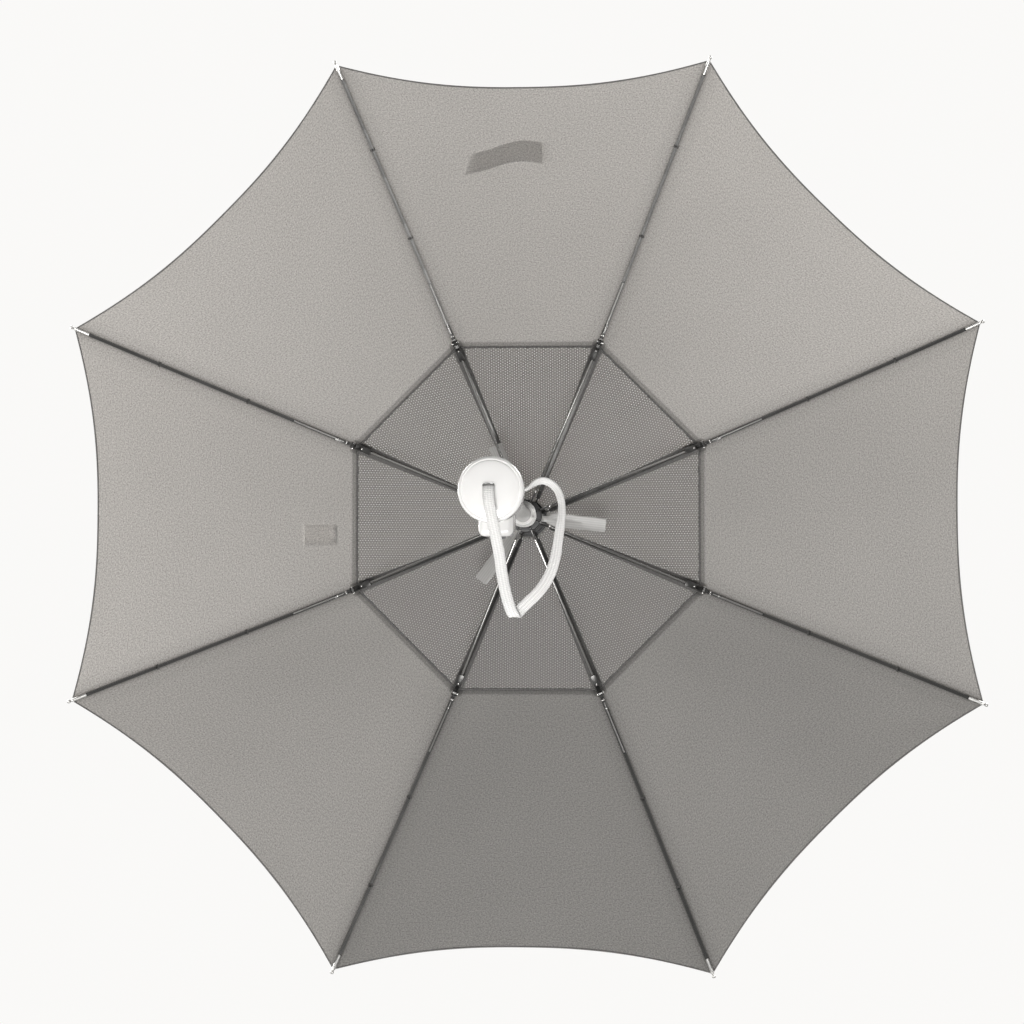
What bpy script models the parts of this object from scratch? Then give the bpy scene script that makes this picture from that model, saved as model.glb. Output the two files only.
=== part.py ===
"""Fan umbrella, open, lying level as photographed.

+Y runs along the shaft from the handle to the crown and +Z is up. The origin is on the shaft's axis, in the
middle of the grip. Lengths are in metres and angles in radians.
"""

import math

import bmesh
import bpy
from mathutils import Matrix, Vector

for old in list(bpy.data.objects):
    bpy.data.objects.remove(old, do_unlink=True)

# Clearances and overruns
GAP = 0.0003
SEAM_GAP = 0.0003
CLOTH_CLEARANCE = 0.0008
OVERRUN = 0.002

# Where the main pieces stand along the shaft
GRIP_TO_CAP_END = 0.085
GRIP_TO_CROWN = 0.560

# Fold linkage: a rib and its strut are two equal links
RIB_COUNT = 8
PIVOT_RADIUS = 0.012
LINK = 0.176
OPEN_ANGLE = math.radians(74.0)
CLOSED_ANGLE = math.radians(10.0)
TIP_RADIUS = 0.4365
TIP_DROP = 0.1793

# Ribs: a channel that opens towards the handle
RIB_WIDTH = 0.0030
RIB_DEPTH = 0.0028
RIB_WALL = 0.0005
RIB_STEPS = 9
BLOCK_PROUD = 0.0001
EYE_RADIUS = 0.0025
EYE_THICKNESS = 0.0016
EYE_BORE_RADIUS = 0.00095
TONGUE_LENGTH = 0.014
TONGUE_BLOCK_START = 0.010
BLOCK_LENGTH = 0.008
LUG_RADIUS = 0.0026
LUG_LENGTH = 0.016
PIN_RADIUS = 0.0010
PIN_CLEARANCE = 0.0003

# Rib tips
SPIGOT_WIDTH = 0.0014
CAP_LENGTH = 0.018
CAP_WALL = 0.0004
CAP_NUB_LENGTH = 0.005

# Struts
STRUT_WIDTH = 0.0026
STRUT_DEPTH = 0.0024
STRUT_BLADE_LENGTH = 0.013
FORK_LENGTH = 0.020
FORK_BRIDGE = 0.004
CHEEK_THICKNESS = 0.0009
HEAD_THICKNESS = 0.0005
HEAD_RADIUS = 0.0020
FOOT_BOSS_RADIUS = 0.0012
FOOT_BOSS_PROUD = 0.0002

# Canopy and its vent net
FABRIC_THICKNESS = 0.0006
FABRIC_NUB_SHOWN = 0.004
RIM_SAG = 0.0202
RIM_CURVE_POWER = 2.5
GORE_SAG = 0.004
NET_SEAM_TO_JOINT = 0.00518
NET_INNER_RADIUS = 0.0162
NET_THICKNESS = 0.0006
NET_BAR = 0.0020
NET_ROWS = 5
NET_COLUMNS = 4
PANEL_ROWS = 6
PANEL_COLUMNS = 6

# Shaft, crown and ferrule
SHAFT_RADIUS = 0.007
SHAFT_WALL = 0.0008
SLIDE_GAP = 0.0003
CROWN_RADIUS = 0.015
CROWN_ABOVE = 0.0047
CROWN_BELOW = 0.0065
SLOT_WIDTH = 0.0024
SLOT_FLOOR_RADIUS = 0.0092
SLOT_ABOVE = 0.0033
WIRE_RADIUS = 0.0006
FERRULE_FLANGE_RADIUS = 0.019
FERRULE_FLANGE_HEIGHT = 0.0012
FERRULE_LENGTH = 0.045
FERRULE_NECK_RADIUS = 0.009
FERRULE_SPIKE_RADIUS = 0.0042
SHAFT_ABOVE_CROWN = 0.0137

# Runner and its catch button
NOTCH_RADIUS = 0.0153
NOTCH_HEIGHT = 0.010
SLEEVE_RADIUS = 0.0091
RUNNER_LENGTH = 0.067
FLANGE_RADIUS = 0.01185
FLANGE_HEIGHT = 0.006
BUTTON_WIDTH = 0.006
BUTTON_LENGTH = 0.007
BUTTON_PROUD = 0.0024
BUTTON_TRAVEL = 0.001
BUTTON_TO_FLANGE = 0.0032

# Fan
MOTOR_RADIUS = 0.013
MOTOR_TOP_DROP = 0.014
MOTOR_LENGTH = 0.034
FAN_GAP = 0.0008
HUB_RADIUS = 0.0107
HUB_LENGTH = 0.016
HUB_BORE_GAP = 0.0006
BLADE_COUNT = 3
BLADE_FIRST_AZIMUTH = math.radians(-6.0)
BLADE_HINGE_RADIUS = 0.0135
BLADE_TIP_RADIUS = 0.075
BLADE_WIDTH = 0.0135
BLADE_THICKNESS = 0.0012
BLADE_PITCH = math.radians(16.0)
KNUCKLE_RADIUS = 0.0024
KNUCKLE_HALF = 0.003
HINGE_PIN_RADIUS = 0.0006
HUB_LUG_THICKNESS = 0.0015

# Handle
CAP_RADIUS = 0.0205
CAP_HEIGHT = 0.014
CAP_DOME = 0.003
CAP_SHELL = 0.0026
CAP_SPIGOT_LENGTH = 0.005
CAP_HOLE_RADIUS = 0.0046
CAP_HOLE_OFFSET = 0.0024
CAP_TRAVEL = 0.030
HANDLE_LENGTH = 0.170
HANDLE_WALL = 0.0022
HANDLE_FOOT_RADIUS = 0.0200
HANDLE_LOW_RADIUS = 0.0190
HANDLE_LOW_SHARE = 0.2353
HANDLE_MID_RADIUS = 0.0173
HANDLE_MID_SHARE = 0.4706
HANDLE_HIGH_RADIUS = 0.0150
HANDLE_HIGH_SHARE = 0.8118
HANDLE_TOP_RADIUS = 0.0128
SHAFT_IN_HANDLE_SHARE = 0.353
BULKHEAD = 0.002
SPIGOT_TO_BULKHEAD = 0.005
MIDDLE_BULKHEAD_SHARE = 0.63
BATTERY_RADIUS = 0.009
BATTERY_LENGTH = 0.065
BOARD_WIDTH = 0.014
BOARD_THICKNESS = 0.0016
BOARD_DEPTH = 0.0125
HOUSING_WIDTH = 0.0225
HOUSING_TO_CAP = 0.042
HOUSING_LENGTH = 0.046
HOUSING_REACH = 0.0277
HOUSING_EDGE = 0.004
POWER_RADIUS = 0.0055
POWER_PROUD = 0.0012
POWER_DEPTH = 0.0035
POWER_TRAVEL = 0.0008

# Straps
STRAP_WIDTH = 0.007
STRAP_THICKNESS = 0.002
TIE_WIDTH = 0.0165
TIE_THICKNESS = 0.0008
TIE_START = 0.018
TIE_END = 0.049
TIE_HEIGHT = 0.329
TIE_RISE = 0.003
TIE_DIP = 0.008
TIE_STEPS = 10
PATCH_WIDTH = 0.0286
PATCH_HEIGHT = 0.0191
PATCH_CENTRE_X = 0.1964
PATCH_CENTRE_Z = 0.016

HALF_STEP = math.pi / RIB_COUNT
AXIS = Vector((0, 1, 0))

steel = ((0.10, 0.10, 0.10), 1.0, 0.35)
bright = ((0.75, 0.75, 0.74), 1.0, 0.25)
black = ((0.03, 0.03, 0.03), 0.0, 0.5)
dark_grey = ((0.10, 0.10, 0.11), 0.0, 0.5)
white = ((0.86, 0.86, 0.85), 0.0, 0.25)
grey_cloth = ((0.40, 0.38, 0.36), 0.0, 0.9)
green = ((0.05, 0.25, 0.12), 0.0, 0.5)


def crown_axis_point(drop):
    return Vector((0, GRIP_TO_CROWN - drop, 0))


def radial(azimuth):
    return Vector((math.cos(azimuth), 0, math.sin(azimuth)))


def tangent(azimuth):
    return Vector((-math.sin(azimuth), 0, math.cos(azimuth)))


def spot(radius, drop, azimuth=0.0, side=0.0):
    return crown_axis_point(drop) + radial(azimuth) * radius + tangent(azimuth) * side


def rib_azimuth(i):
    return HALF_STEP + i * 2 * HALF_STEP


def paint(obj, look):
    colour, metallic, roughness = look
    mat = bpy.data.materials.new(obj.name)
    mat.use_nodes = True
    shader = mat.node_tree.nodes["Principled BSDF"]
    shader.inputs["Base Color"].default_value = (*colour, 1)
    shader.inputs["Metallic"].default_value = metallic
    shader.inputs["Roughness"].default_value = roughness
    mat.diffuse_color = (*colour, 1)
    obj.data.materials.clear()
    obj.data.materials.append(mat)


def mesh_object(name, points, faces):
    mesh = bpy.data.meshes.new(name)
    mesh.from_pydata([tuple(p) for p in points], [], faces)
    obj = bpy.data.objects.new(name, mesh)
    bpy.context.collection.objects.link(obj)
    bm = bmesh.new()
    bm.from_mesh(mesh)
    bmesh.ops.recalc_face_normals(bm, faces=bm.faces)
    bm.to_mesh(mesh)
    bm.free()
    return obj


def tube_of(name, loops):
    """A closed solid through loops of points, with a flat face at each end."""
    count = len(loops[0])
    points = [p for loop in loops for p in loop]
    faces = []
    for i in range(len(loops) - 1):
        for j in range(count):
            k = (j + 1) % count
            a = i * count
            b = a + count
            faces.append((a + j, a + k, b + k, b + j))
    faces.append(tuple(range(count)))
    last = (len(loops) - 1) * count
    faces.append(tuple(range(last, last + count)))
    return mesh_object(name, points, faces)


def turned(name, profile, segments=24):
    """A solid of revolution round the shaft. The profile is a closed outline of (radius, drop) pairs."""
    points = []
    faces = []
    index = []
    for r, drop in profile:
        if r < GAP * GAP:
            index.append([len(points)] * segments)
            points.append(crown_axis_point(drop))
            continue
        index.append([len(points) + j for j in range(segments)])
        for j in range(segments):
            points.append(spot(r, drop, 2 * math.pi * j / segments))
    for i in range(len(profile)):
        a = index[i]
        b = index[(i + 1) % len(profile)]
        if a[0] == a[1] and b[0] == b[1]:
            continue
        for j in range(segments):
            k = (j + 1) % segments
            corners = []
            for c in (a[j], a[k], b[k], b[j]):
                if c not in corners:
                    corners.append(c)
            faces.append(tuple(corners))
    return mesh_object(name, points, faces)


def plate(name, outline, side_a, side_b):
    """A flat plate in the plane of azimuth 0. The outline is (radius, drop) pairs."""
    loops = [[spot(r, d, 0.0, s) for r, d in outline] for s in (side_a, side_b)]
    return tube_of(name, loops)


def disc(name, radius, drop, size, side_a, side_b, segments=10):
    outline = []
    for j in range(segments):
        a = 2 * math.pi * j / segments
        outline.append((radius + size * math.cos(a), drop + size * math.sin(a)))
    return plate(name, outline, side_a, side_b)


def box(name, low, high):
    points = []
    for x in (low[0], high[0]):
        for y in (low[1], high[1]):
            for z in (low[2], high[2]):
                points.append(Vector((x, y, z)))
    faces = [(0, 1, 3, 2), (4, 5, 7, 6), (0, 1, 5, 4), (2, 3, 7, 6), (0, 2, 6, 4), (1, 3, 7, 5)]
    return mesh_object(name, points, faces)


def settle(obj):
    """Apply the object's modifiers and its place to its mesh."""
    graph = bpy.context.evaluated_depsgraph_get()
    mesh = bpy.data.meshes.new_from_object(obj.evaluated_get(graph))
    obj.modifiers.clear()
    old_mesh = obj.data
    obj.data = mesh
    bpy.data.meshes.remove(old_mesh)
    return obj


def combine(obj, tools, operation):
    for tool in tools:
        mod = obj.modifiers.new("cut", "BOOLEAN")
        mod.operation = operation
        mod.solver = "EXACT"
        mod.object = tool
        settle(obj)
        bpy.data.objects.remove(tool, do_unlink=True)
    return obj


def tidy(obj):
    """Join the flat triangles that the cuts leave."""
    bm = bmesh.new()
    bm.from_mesh(obj.data)
    bmesh.ops.dissolve_limit(bm, angle_limit=math.radians(0.2), verts=bm.verts, edges=bm.edges)
    bmesh.ops.triangulate(bm, faces=[f for f in bm.faces if len(f.verts) > 4])
    bm.to_mesh(obj.data)
    bm.free()
    return obj


def copy_turned(master, name, azimuth):
    obj = master.copy()
    obj.data = master.data.copy()
    obj.name = name
    obj.data.name = name
    bpy.context.collection.objects.link(obj)
    obj.data.transform(Matrix.Rotation(-azimuth, 4, AXIS))
    return obj


def set_origin(obj, place):
    obj.data.transform(Matrix.Translation(-place))
    obj.location = place
    return obj


# The rib's arc goes through the crown pivot, the strut's pivot and the tip.
joint_radius = PIVOT_RADIUS + LINK * math.sin(OPEN_ANGLE)
joint_drop = LINK * math.cos(OPEN_ANGLE)


def circle_through(p, q, s):
    (ax, ay), (bx, by), (cx, cy) = p, q, s
    d = 2 * (ax * (by - cy) + bx * (cy - ay) + cx * (ay - by))
    ux = ((ax**2 + ay**2) * (by - cy) + (bx**2 + by**2) * (cy - ay) + (cx**2 + cy**2) * (ay - by)) / d
    uy = ((ax**2 + ay**2) * (cx - bx) + (bx**2 + by**2) * (ax - cx) + (cx**2 + cy**2) * (bx - ax)) / d
    return ux, uy, math.hypot(ax - ux, ay - uy)


arc_r, arc_d, arc_size = circle_through(
    (PIVOT_RADIUS, 0.0), (joint_radius, joint_drop), (TIP_RADIUS, TIP_DROP)
)
net_radius = joint_radius - NET_SEAM_TO_JOINT
start_slope = math.asin((PIVOT_RADIUS - arc_r) / arc_size)
joint_slope = math.asin((joint_radius - arc_r) / arc_size)
tip_slope = math.asin((TIP_RADIUS - arc_r) / arc_size)
joint_run = (joint_slope - start_slope) * arc_size
tip_run = (tip_slope - start_slope) * arc_size


def on_arc(run, lift=0.0):
    """The (radius, drop) at a distance along the rib from the crown pivot, lifted off it outwards."""
    slope = start_slope + run / arc_size
    r = arc_r + (arc_size + lift) * math.sin(slope)
    d = arc_d - (arc_size + lift) * math.cos(slope)
    return r, d


def rib_stretch(name, run_a, run_b, steps, section):
    loops = []
    for i in range(steps + 1):
        run = run_a + (run_b - run_a) * i / steps
        loop = []
        for side, lift in section:
            r, d = on_arc(run, lift)
            loop.append(spot(r, d, 0.0, side))
        loops.append(loop)
    return tube_of(name, loops)


def block_section(width, low, high):
    return [(-width / 2, low), (-width / 2, high), (width / 2, high), (width / 2, low)]


# Ribs
block_width = RIB_WIDTH + 2 * BLOCK_PROUD
block_low = -BLOCK_PROUD
block_high = RIB_DEPTH + BLOCK_PROUD
cap_run = tip_run - CAP_LENGTH
rib_end = cap_run - GAP
half = RIB_WIDTH / 2
inner_half = half - RIB_WALL
web = RIB_DEPTH - RIB_WALL
channel = [
    (-half, 0), (-half, RIB_DEPTH), (half, RIB_DEPTH), (half, 0),
    (inner_half, 0), (inner_half, web), (-inner_half, web), (-inner_half, 0),
]
rib = rib_stretch(
    "rib_master", TONGUE_BLOCK_START + BLOCK_LENGTH / 2, rib_end - BLOCK_LENGTH / 4, RIB_STEPS, channel
)
tongue = rib_stretch(
    "tongue", 0.0, TONGUE_LENGTH, 2, block_section(EYE_THICKNESS, -EYE_THICKNESS / 2, RIB_DEPTH * 0.7)
)
eye = disc("eye", PIVOT_RADIUS, 0.0, EYE_RADIUS, -EYE_THICKNESS / 2, EYE_THICKNESS / 2)
tongue_block = rib_stretch(
    "tongue_block", TONGUE_BLOCK_START, TONGUE_BLOCK_START + BLOCK_LENGTH, 1,
    block_section(block_width, block_low, block_high),
)
lug_block = rib_stretch(
    "lug_block", joint_run - LUG_LENGTH / 2, joint_run + LUG_LENGTH / 2, 2,
    block_section(block_width, block_low, block_high),
)
lug = disc("lug", joint_radius, joint_drop, LUG_RADIUS, -block_width / 2, block_width / 2)
end_block = rib_stretch(
    "end_block", rib_end - BLOCK_LENGTH / 2, rib_end, 1, block_section(block_width, block_low, block_high)
)
spigot_mid = RIB_DEPTH / 2
bore_end = CAP_LENGTH / 2 - CAP_NUB_LENGTH * 0.95
spigot_end = (cap_run + tip_run) / 2 + bore_end - GAP
spigot = rib_stretch(
    "spigot", rib_end - BLOCK_LENGTH / 4, spigot_end, 1,
    block_section(SPIGOT_WIDTH, spigot_mid - SPIGOT_WIDTH / 2, spigot_mid + SPIGOT_WIDTH / 2),
)
combine(tongue, [eye, tongue_block], "UNION")
combine(rib, [tongue, lug_block, lug, end_block, spigot], "UNION")
eye_bore = disc("eye_bore", PIVOT_RADIUS, 0.0, EYE_BORE_RADIUS, -OVERRUN, OVERRUN, 8)
pin_bore = disc(
    "pin_bore", joint_radius, joint_drop, PIN_RADIUS + PIN_CLEARANCE, -block_width, block_width, 8
)
combine(rib, [eye_bore, pin_bore], "DIFFERENCE")
tidy(rib)

# Rib tips: a thin cap pushed over the spigot, with a domed nub
bore_radius = SPIGOT_WIDTH / 2 * math.sqrt(2) + GAP
cap_radius = bore_radius + CAP_WALL
cap_mid = (cap_run + tip_run) / 2
cap_slope = start_slope + cap_mid / arc_size
cap_r, cap_d = on_arc(cap_mid, RIB_DEPTH / 2)
cap_way = Vector((math.cos(cap_slope), -math.sin(cap_slope), 0))
cap_up = Vector((math.sin(cap_slope), math.cos(cap_slope), 0))
cap_centre = spot(cap_r, cap_d)
cap_points = []
cap_faces = []
CAP_SIDES = 8
cap_outline = [
    (bore_radius, -CAP_LENGTH / 2), (cap_radius, -CAP_LENGTH / 2),
    (cap_radius, CAP_LENGTH / 2 - CAP_NUB_LENGTH), (cap_radius * 0.62, CAP_LENGTH / 2 - CAP_NUB_LENGTH * 0.75),
    (cap_radius * 0.95, CAP_LENGTH / 2 - CAP_NUB_LENGTH * 0.35), (cap_radius * 0.6, CAP_LENGTH / 2),
]
ring_count = len(cap_outline)
for r, a in cap_outline:
    for j in range(CAP_SIDES):
        t = 2 * math.pi * j / CAP_SIDES
        around = cap_up * (r * math.cos(t)) + Vector((0, 0, r * math.sin(t)))
        cap_points.append(cap_centre + cap_way * a + around)
for i in range(ring_count - 1):
    for j in range(CAP_SIDES):
        k = (j + 1) % CAP_SIDES
        a = i * CAP_SIDES
        b = a + CAP_SIDES
        cap_faces.append((a + j, a + k, b + k, b + j))
last = (ring_count - 1) * CAP_SIDES
cap_faces.append(tuple(range(last, last + CAP_SIDES)))
inner_first = len(cap_points)
for j in range(CAP_SIDES):
    t = 2 * math.pi * j / CAP_SIDES
    around = cap_up * (bore_radius * math.cos(t)) + Vector((0, 0, bore_radius * math.sin(t)))
    cap_points.append(cap_centre + cap_way * bore_end + around)
for j in range(CAP_SIDES):
    k = (j + 1) % CAP_SIDES
    cap_faces.append((j, k, inner_first + k, inner_first + j))
cap_faces.append(tuple(range(inner_first, inner_first + CAP_SIDES)))
tip_cap = mesh_object("tip_master", cap_points, cap_faces)

# Struts: a flat blade at the foot, a bar, and a fork with the pin at the rib
foot_drop = 2 * joint_drop
strut_slope = math.atan2(foot_drop - joint_drop, joint_radius - PIVOT_RADIUS)


def on_strut(along, lift):
    """The (radius, drop) at a distance from the strut's foot, lifted off its centre line."""
    r = PIVOT_RADIUS + along * math.cos(strut_slope) + lift * math.sin(strut_slope)
    d = foot_drop - along * math.sin(strut_slope) - lift * math.cos(strut_slope)
    return r, d


def strut_bar(name, a, b, low, high, side_a, side_b):
    outline = [on_strut(a, low), on_strut(b, low), on_strut(b, high), on_strut(a, high)]
    return plate(name, outline, side_a, side_b)


fork_inner = block_width / 2 + GAP
fork_outer = fork_inner + CHEEK_THICKNESS
fork_start = LINK - FORK_LENGTH
depth = STRUT_DEPTH / 2
strut = strut_bar(
    "strut_master", STRUT_BLADE_LENGTH * 0.8, fork_start + FORK_BRIDGE / 2, -depth, depth,
    -STRUT_WIDTH / 2, STRUT_WIDTH / 2,
)
foot_blade = strut_bar(
    "foot_blade", 0.0, STRUT_BLADE_LENGTH, -depth * 1.25, depth * 1.25, -EYE_THICKNESS / 2, EYE_THICKNESS / 2
)
foot_eye = disc("foot_eye", PIVOT_RADIUS, foot_drop, EYE_RADIUS, -EYE_THICKNESS / 2, EYE_THICKNESS / 2)
boss_side = EYE_THICKNESS / 2 + FOOT_BOSS_PROUD
foot_boss = disc("foot_boss", PIVOT_RADIUS, foot_drop, FOOT_BOSS_RADIUS, -boss_side, boss_side, 8)
fork_depth = depth * 1.4
bridge_depth = fork_depth + BLOCK_PROUD
bridge_side = fork_outer + BLOCK_PROUD
bridge = strut_bar(
    "bridge", fork_start, fork_start + FORK_BRIDGE, -bridge_depth, bridge_depth, -bridge_side, bridge_side
)
combine(foot_blade, [foot_eye, foot_boss], "UNION")
pieces = [foot_blade, bridge]
for way in (-1, 1):
    near = way * fork_inner
    far = way * fork_outer
    cheek = strut_bar("cheek", fork_start + FORK_BRIDGE / 2, LINK, -fork_depth, fork_depth, near, far)
    cheek_eye = disc("cheek_eye", joint_radius, joint_drop, LUG_RADIUS, near, far)
    combine(cheek, [cheek_eye], "UNION")
    pieces.append(cheek)
head_side = fork_outer + HEAD_THICKNESS
pin_end = fork_outer + HEAD_THICKNESS / 2
pin = disc("pin", joint_radius, joint_drop, PIN_RADIUS, -pin_end, pin_end, 8)
for way in (-1, 1):
    head = disc(
        "head", joint_radius, joint_drop, HEAD_RADIUS,
        way * (fork_outer - CHEEK_THICKNESS / 2), way * head_side, 8,
    )
    combine(pin, [head], "UNION")
pieces.append(pin)
combine(strut, pieces, "UNION")
tidy(strut)


# Canopy: one piece of cloth and one of net on each rib, each the two half gores sewn together at that rib
fabric_lift = RIB_DEPTH / 2 + cap_radius + CLOTH_CLEARANCE


def rim_rho(delta):
    share = min(1.0, abs(delta) / HALF_STEP)
    corner = TIP_RADIUS - FABRIC_NUB_SHOWN
    return corner - RIM_SAG * (1 - (1 - share) ** RIM_CURVE_POWER)


def chord(delta):
    """How much nearer the axis a straight line between two ribs runs, at this angle from a rib."""
    return math.cos(HALF_STEP) / math.cos(HALF_STEP - abs(delta))


def on_canopy(rho, azimuth, delta, lift, aside=0.0):
    """A point on the canopy. rho is the radius of the level line where it crosses the ribs."""
    slope = math.asin((rho - arc_r) / arc_size)
    drop = arc_d - arc_size * math.cos(slope)
    share = (rho - net_radius) / (TIP_RADIUS - net_radius)
    if 0 < share < 1:
        drop += GORE_SAG * 4 * share * (1 - share) * math.sin(math.pi / 2 * delta / HALF_STEP) ** 2
    r = rho * chord(delta) + lift * math.sin(slope)
    place = spot(r, drop - lift * math.cos(slope), azimuth + delta)
    return place + tangent(azimuth + delta) * aside


def cloth_grid(rows, columns, rho_of, azimuth=0.0):
    """Rows of points from the inner edge to the outer, with half the seam gap left at each side."""
    grid = []
    for i in range(rows + 1):
        line = []
        for j in range(columns + 1):
            delta = HALF_STEP * (2 * j / columns - 1)
            aside = 0.0
            if j == 0:
                aside = SEAM_GAP / 2
            if j == columns:
                aside = -SEAM_GAP / 2
            line.append(on_canopy(rho_of(i / rows, delta), azimuth, delta, fabric_lift, aside))
        grid.append(line)
    return grid


def cloth_mesh(name, grid):
    columns = len(grid[0])
    points = [p for line in grid for p in line]
    faces = []
    for i in range(len(grid) - 1):
        for j in range(columns - 1):
            a = i * columns + j
            faces.append((a, a + 1, a + columns + 1, a + columns))
    mesh = bpy.data.meshes.new(name)
    mesh.from_pydata([tuple(p) for p in points], [], faces)
    obj = bpy.data.objects.new(name, mesh)
    bpy.context.collection.objects.link(obj)
    return obj


def thicken(obj, thickness):
    """Give a sheet its thickness on the side away from the handle."""
    bm = bmesh.new()
    bm.from_mesh(obj.data)
    bm.normal_update()
    if sum(f.normal.y for f in bm.faces) < 0:
        bmesh.ops.reverse_faces(bm, faces=bm.faces)
    bm.to_mesh(obj.data)
    bm.free()
    mod = obj.modifiers.new("thickness", "SOLIDIFY")
    mod.thickness = thickness
    mod.offset = 1
    return settle(obj)


def panel_rho(share, delta):
    inner = net_radius + SEAM_GAP / 2
    return inner + (rim_rho(delta) - inner) * share


def net_rho(share, delta):
    inner = NET_INNER_RADIUS / chord(delta)
    outer = net_radius - SEAM_GAP / 2
    return inner + (outer - inner) * share


panel = cloth_mesh("panel_master", cloth_grid(PANEL_ROWS, PANEL_COLUMNS, panel_rho))
thicken(panel, FABRIC_THICKNESS)
net = cloth_mesh("net_master", cloth_grid(NET_ROWS, NET_COLUMNS, net_rho))
bm = bmesh.new()
bm.from_mesh(net.data)
cells = list(bm.faces)
bmesh.ops.inset_individual(bm, faces=cells, thickness=NET_BAR / 2, use_even_offset=True)
bmesh.ops.delete(bm, geom=cells, context="FACES")
bm.to_mesh(net.data)
bm.free()
thicken(net, NET_THICKNESS)

for i in range(RIB_COUNT):
    az = rib_azimuth(i)
    number = i + 1
    pivot = spot(PIVOT_RADIUS, 0.0, az)
    joint = spot(joint_radius, joint_drop, az)
    paint(set_origin(copy_turned(rib, f"rib_{number}", az), pivot), steel)
    paint(copy_turned(tip_cap, f"rib_tip_{number}", az), bright)
    paint(set_origin(copy_turned(strut, f"strut_{number}", az), joint), steel)
    paint(copy_turned(panel, f"canopy_{number}", az), grey_cloth)
    paint(copy_turned(net, f"vent_net_{number}", az), grey_cloth)
for master in (rib, tip_cap, strut, panel, net):
    bpy.data.objects.remove(master, do_unlink=True)

# Shaft
handle_top_drop = GRIP_TO_CROWN + GRIP_TO_CAP_END - HANDLE_LENGTH
shaft_in_handle = HANDLE_LENGTH * SHAFT_IN_HANDLE_SHARE
shaft_foot = handle_top_drop + shaft_in_handle
shaft_inner = SHAFT_RADIUS - SHAFT_WALL
shaft_top = -SHAFT_ABOVE_CROWN
paint(
    turned("shaft_tube", [
        (SHAFT_RADIUS, shaft_top), (SHAFT_RADIUS, shaft_foot),
        (shaft_inner, shaft_foot), (shaft_inner, shaft_top),
    ]),
    steel,
)

# Crown notch: slots for the rib eyes, and a ring wire through them
bore = SHAFT_RADIUS + SLIDE_GAP
crown = turned("crown_notch", [
    (bore, -CROWN_ABOVE), (bore, CROWN_BELOW), (CROWN_RADIUS, CROWN_BELOW), (CROWN_RADIUS, -CROWN_ABOVE),
])
for i in range(RIB_COUNT):
    low = plate("slot", [
        (SLOT_FLOOR_RADIUS, -SLOT_ABOVE), (CROWN_RADIUS + OVERRUN, -SLOT_ABOVE),
        (CROWN_RADIUS + OVERRUN, CROWN_BELOW + OVERRUN), (SLOT_FLOOR_RADIUS, CROWN_BELOW + OVERRUN),
    ], -SLOT_WIDTH / 2, SLOT_WIDTH / 2)
    low.data.transform(Matrix.Rotation(-rib_azimuth(i), 4, AXIS))
    combine(crown, [low], "DIFFERENCE")
wire_loops = []
WIRE_STEPS = 24
WIRE_SIDES = 4
for j in range(WIRE_STEPS):
    a = 2 * math.pi * j / WIRE_STEPS
    loop = []
    for k in range(WIRE_SIDES):
        b = 2 * math.pi * k / WIRE_SIDES
        loop.append(spot(PIVOT_RADIUS + WIRE_RADIUS * math.cos(b), WIRE_RADIUS * math.sin(b), a))
    wire_loops.append(loop)
wire_points = [p for loop in wire_loops for p in loop]
wire_faces = []
for j in range(WIRE_STEPS):
    a = j * WIRE_SIDES
    b = ((j + 1) % WIRE_STEPS) * WIRE_SIDES
    for k in range(WIRE_SIDES):
        n = (k + 1) % WIRE_SIDES
        wire_faces.append((a + k, a + n, b + n, b + k))
wire = mesh_object("wire", wire_points, wire_faces)
combine(crown, [wire], "UNION")
tidy(crown)
paint(crown, black)

# Ferrule: a flange on the net, over the notch and the shaft's end
net_slope = math.asin((NET_INNER_RADIUS - arc_r) / arc_size)
net_top = arc_d - arc_size * math.cos(net_slope) - (fabric_lift + NET_THICKNESS) * math.cos(net_slope)
flange_low = net_top - GAP
notch_seat = -CROWN_ABOVE - GAP
flange_high = min(flange_low, notch_seat) - FERRULE_FLANGE_HEIGHT
shaft_seat = shaft_top - GAP
paint(
    turned("ferrule", [
        (0, shaft_seat), (bore, shaft_seat), (bore, notch_seat), (CROWN_RADIUS + GAP, notch_seat),
        (CROWN_RADIUS + GAP, flange_low), (FERRULE_FLANGE_RADIUS, flange_low),
        (FERRULE_FLANGE_RADIUS, flange_high),
        (FERRULE_NECK_RADIUS + FERRULE_FLANGE_HEIGHT, flange_high - FERRULE_FLANGE_HEIGHT * 2),
        (FERRULE_NECK_RADIUS, -FERRULE_LENGTH * 0.4), (FERRULE_SPIKE_RADIUS * 1.15, -FERRULE_LENGTH * 0.52),
        (FERRULE_SPIKE_RADIUS, -FERRULE_LENGTH * 0.94), (FERRULE_SPIKE_RADIUS * 0.7, -FERRULE_LENGTH * 0.99),
        (0, -FERRULE_LENGTH),
    ]),
    black,
)

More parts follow.
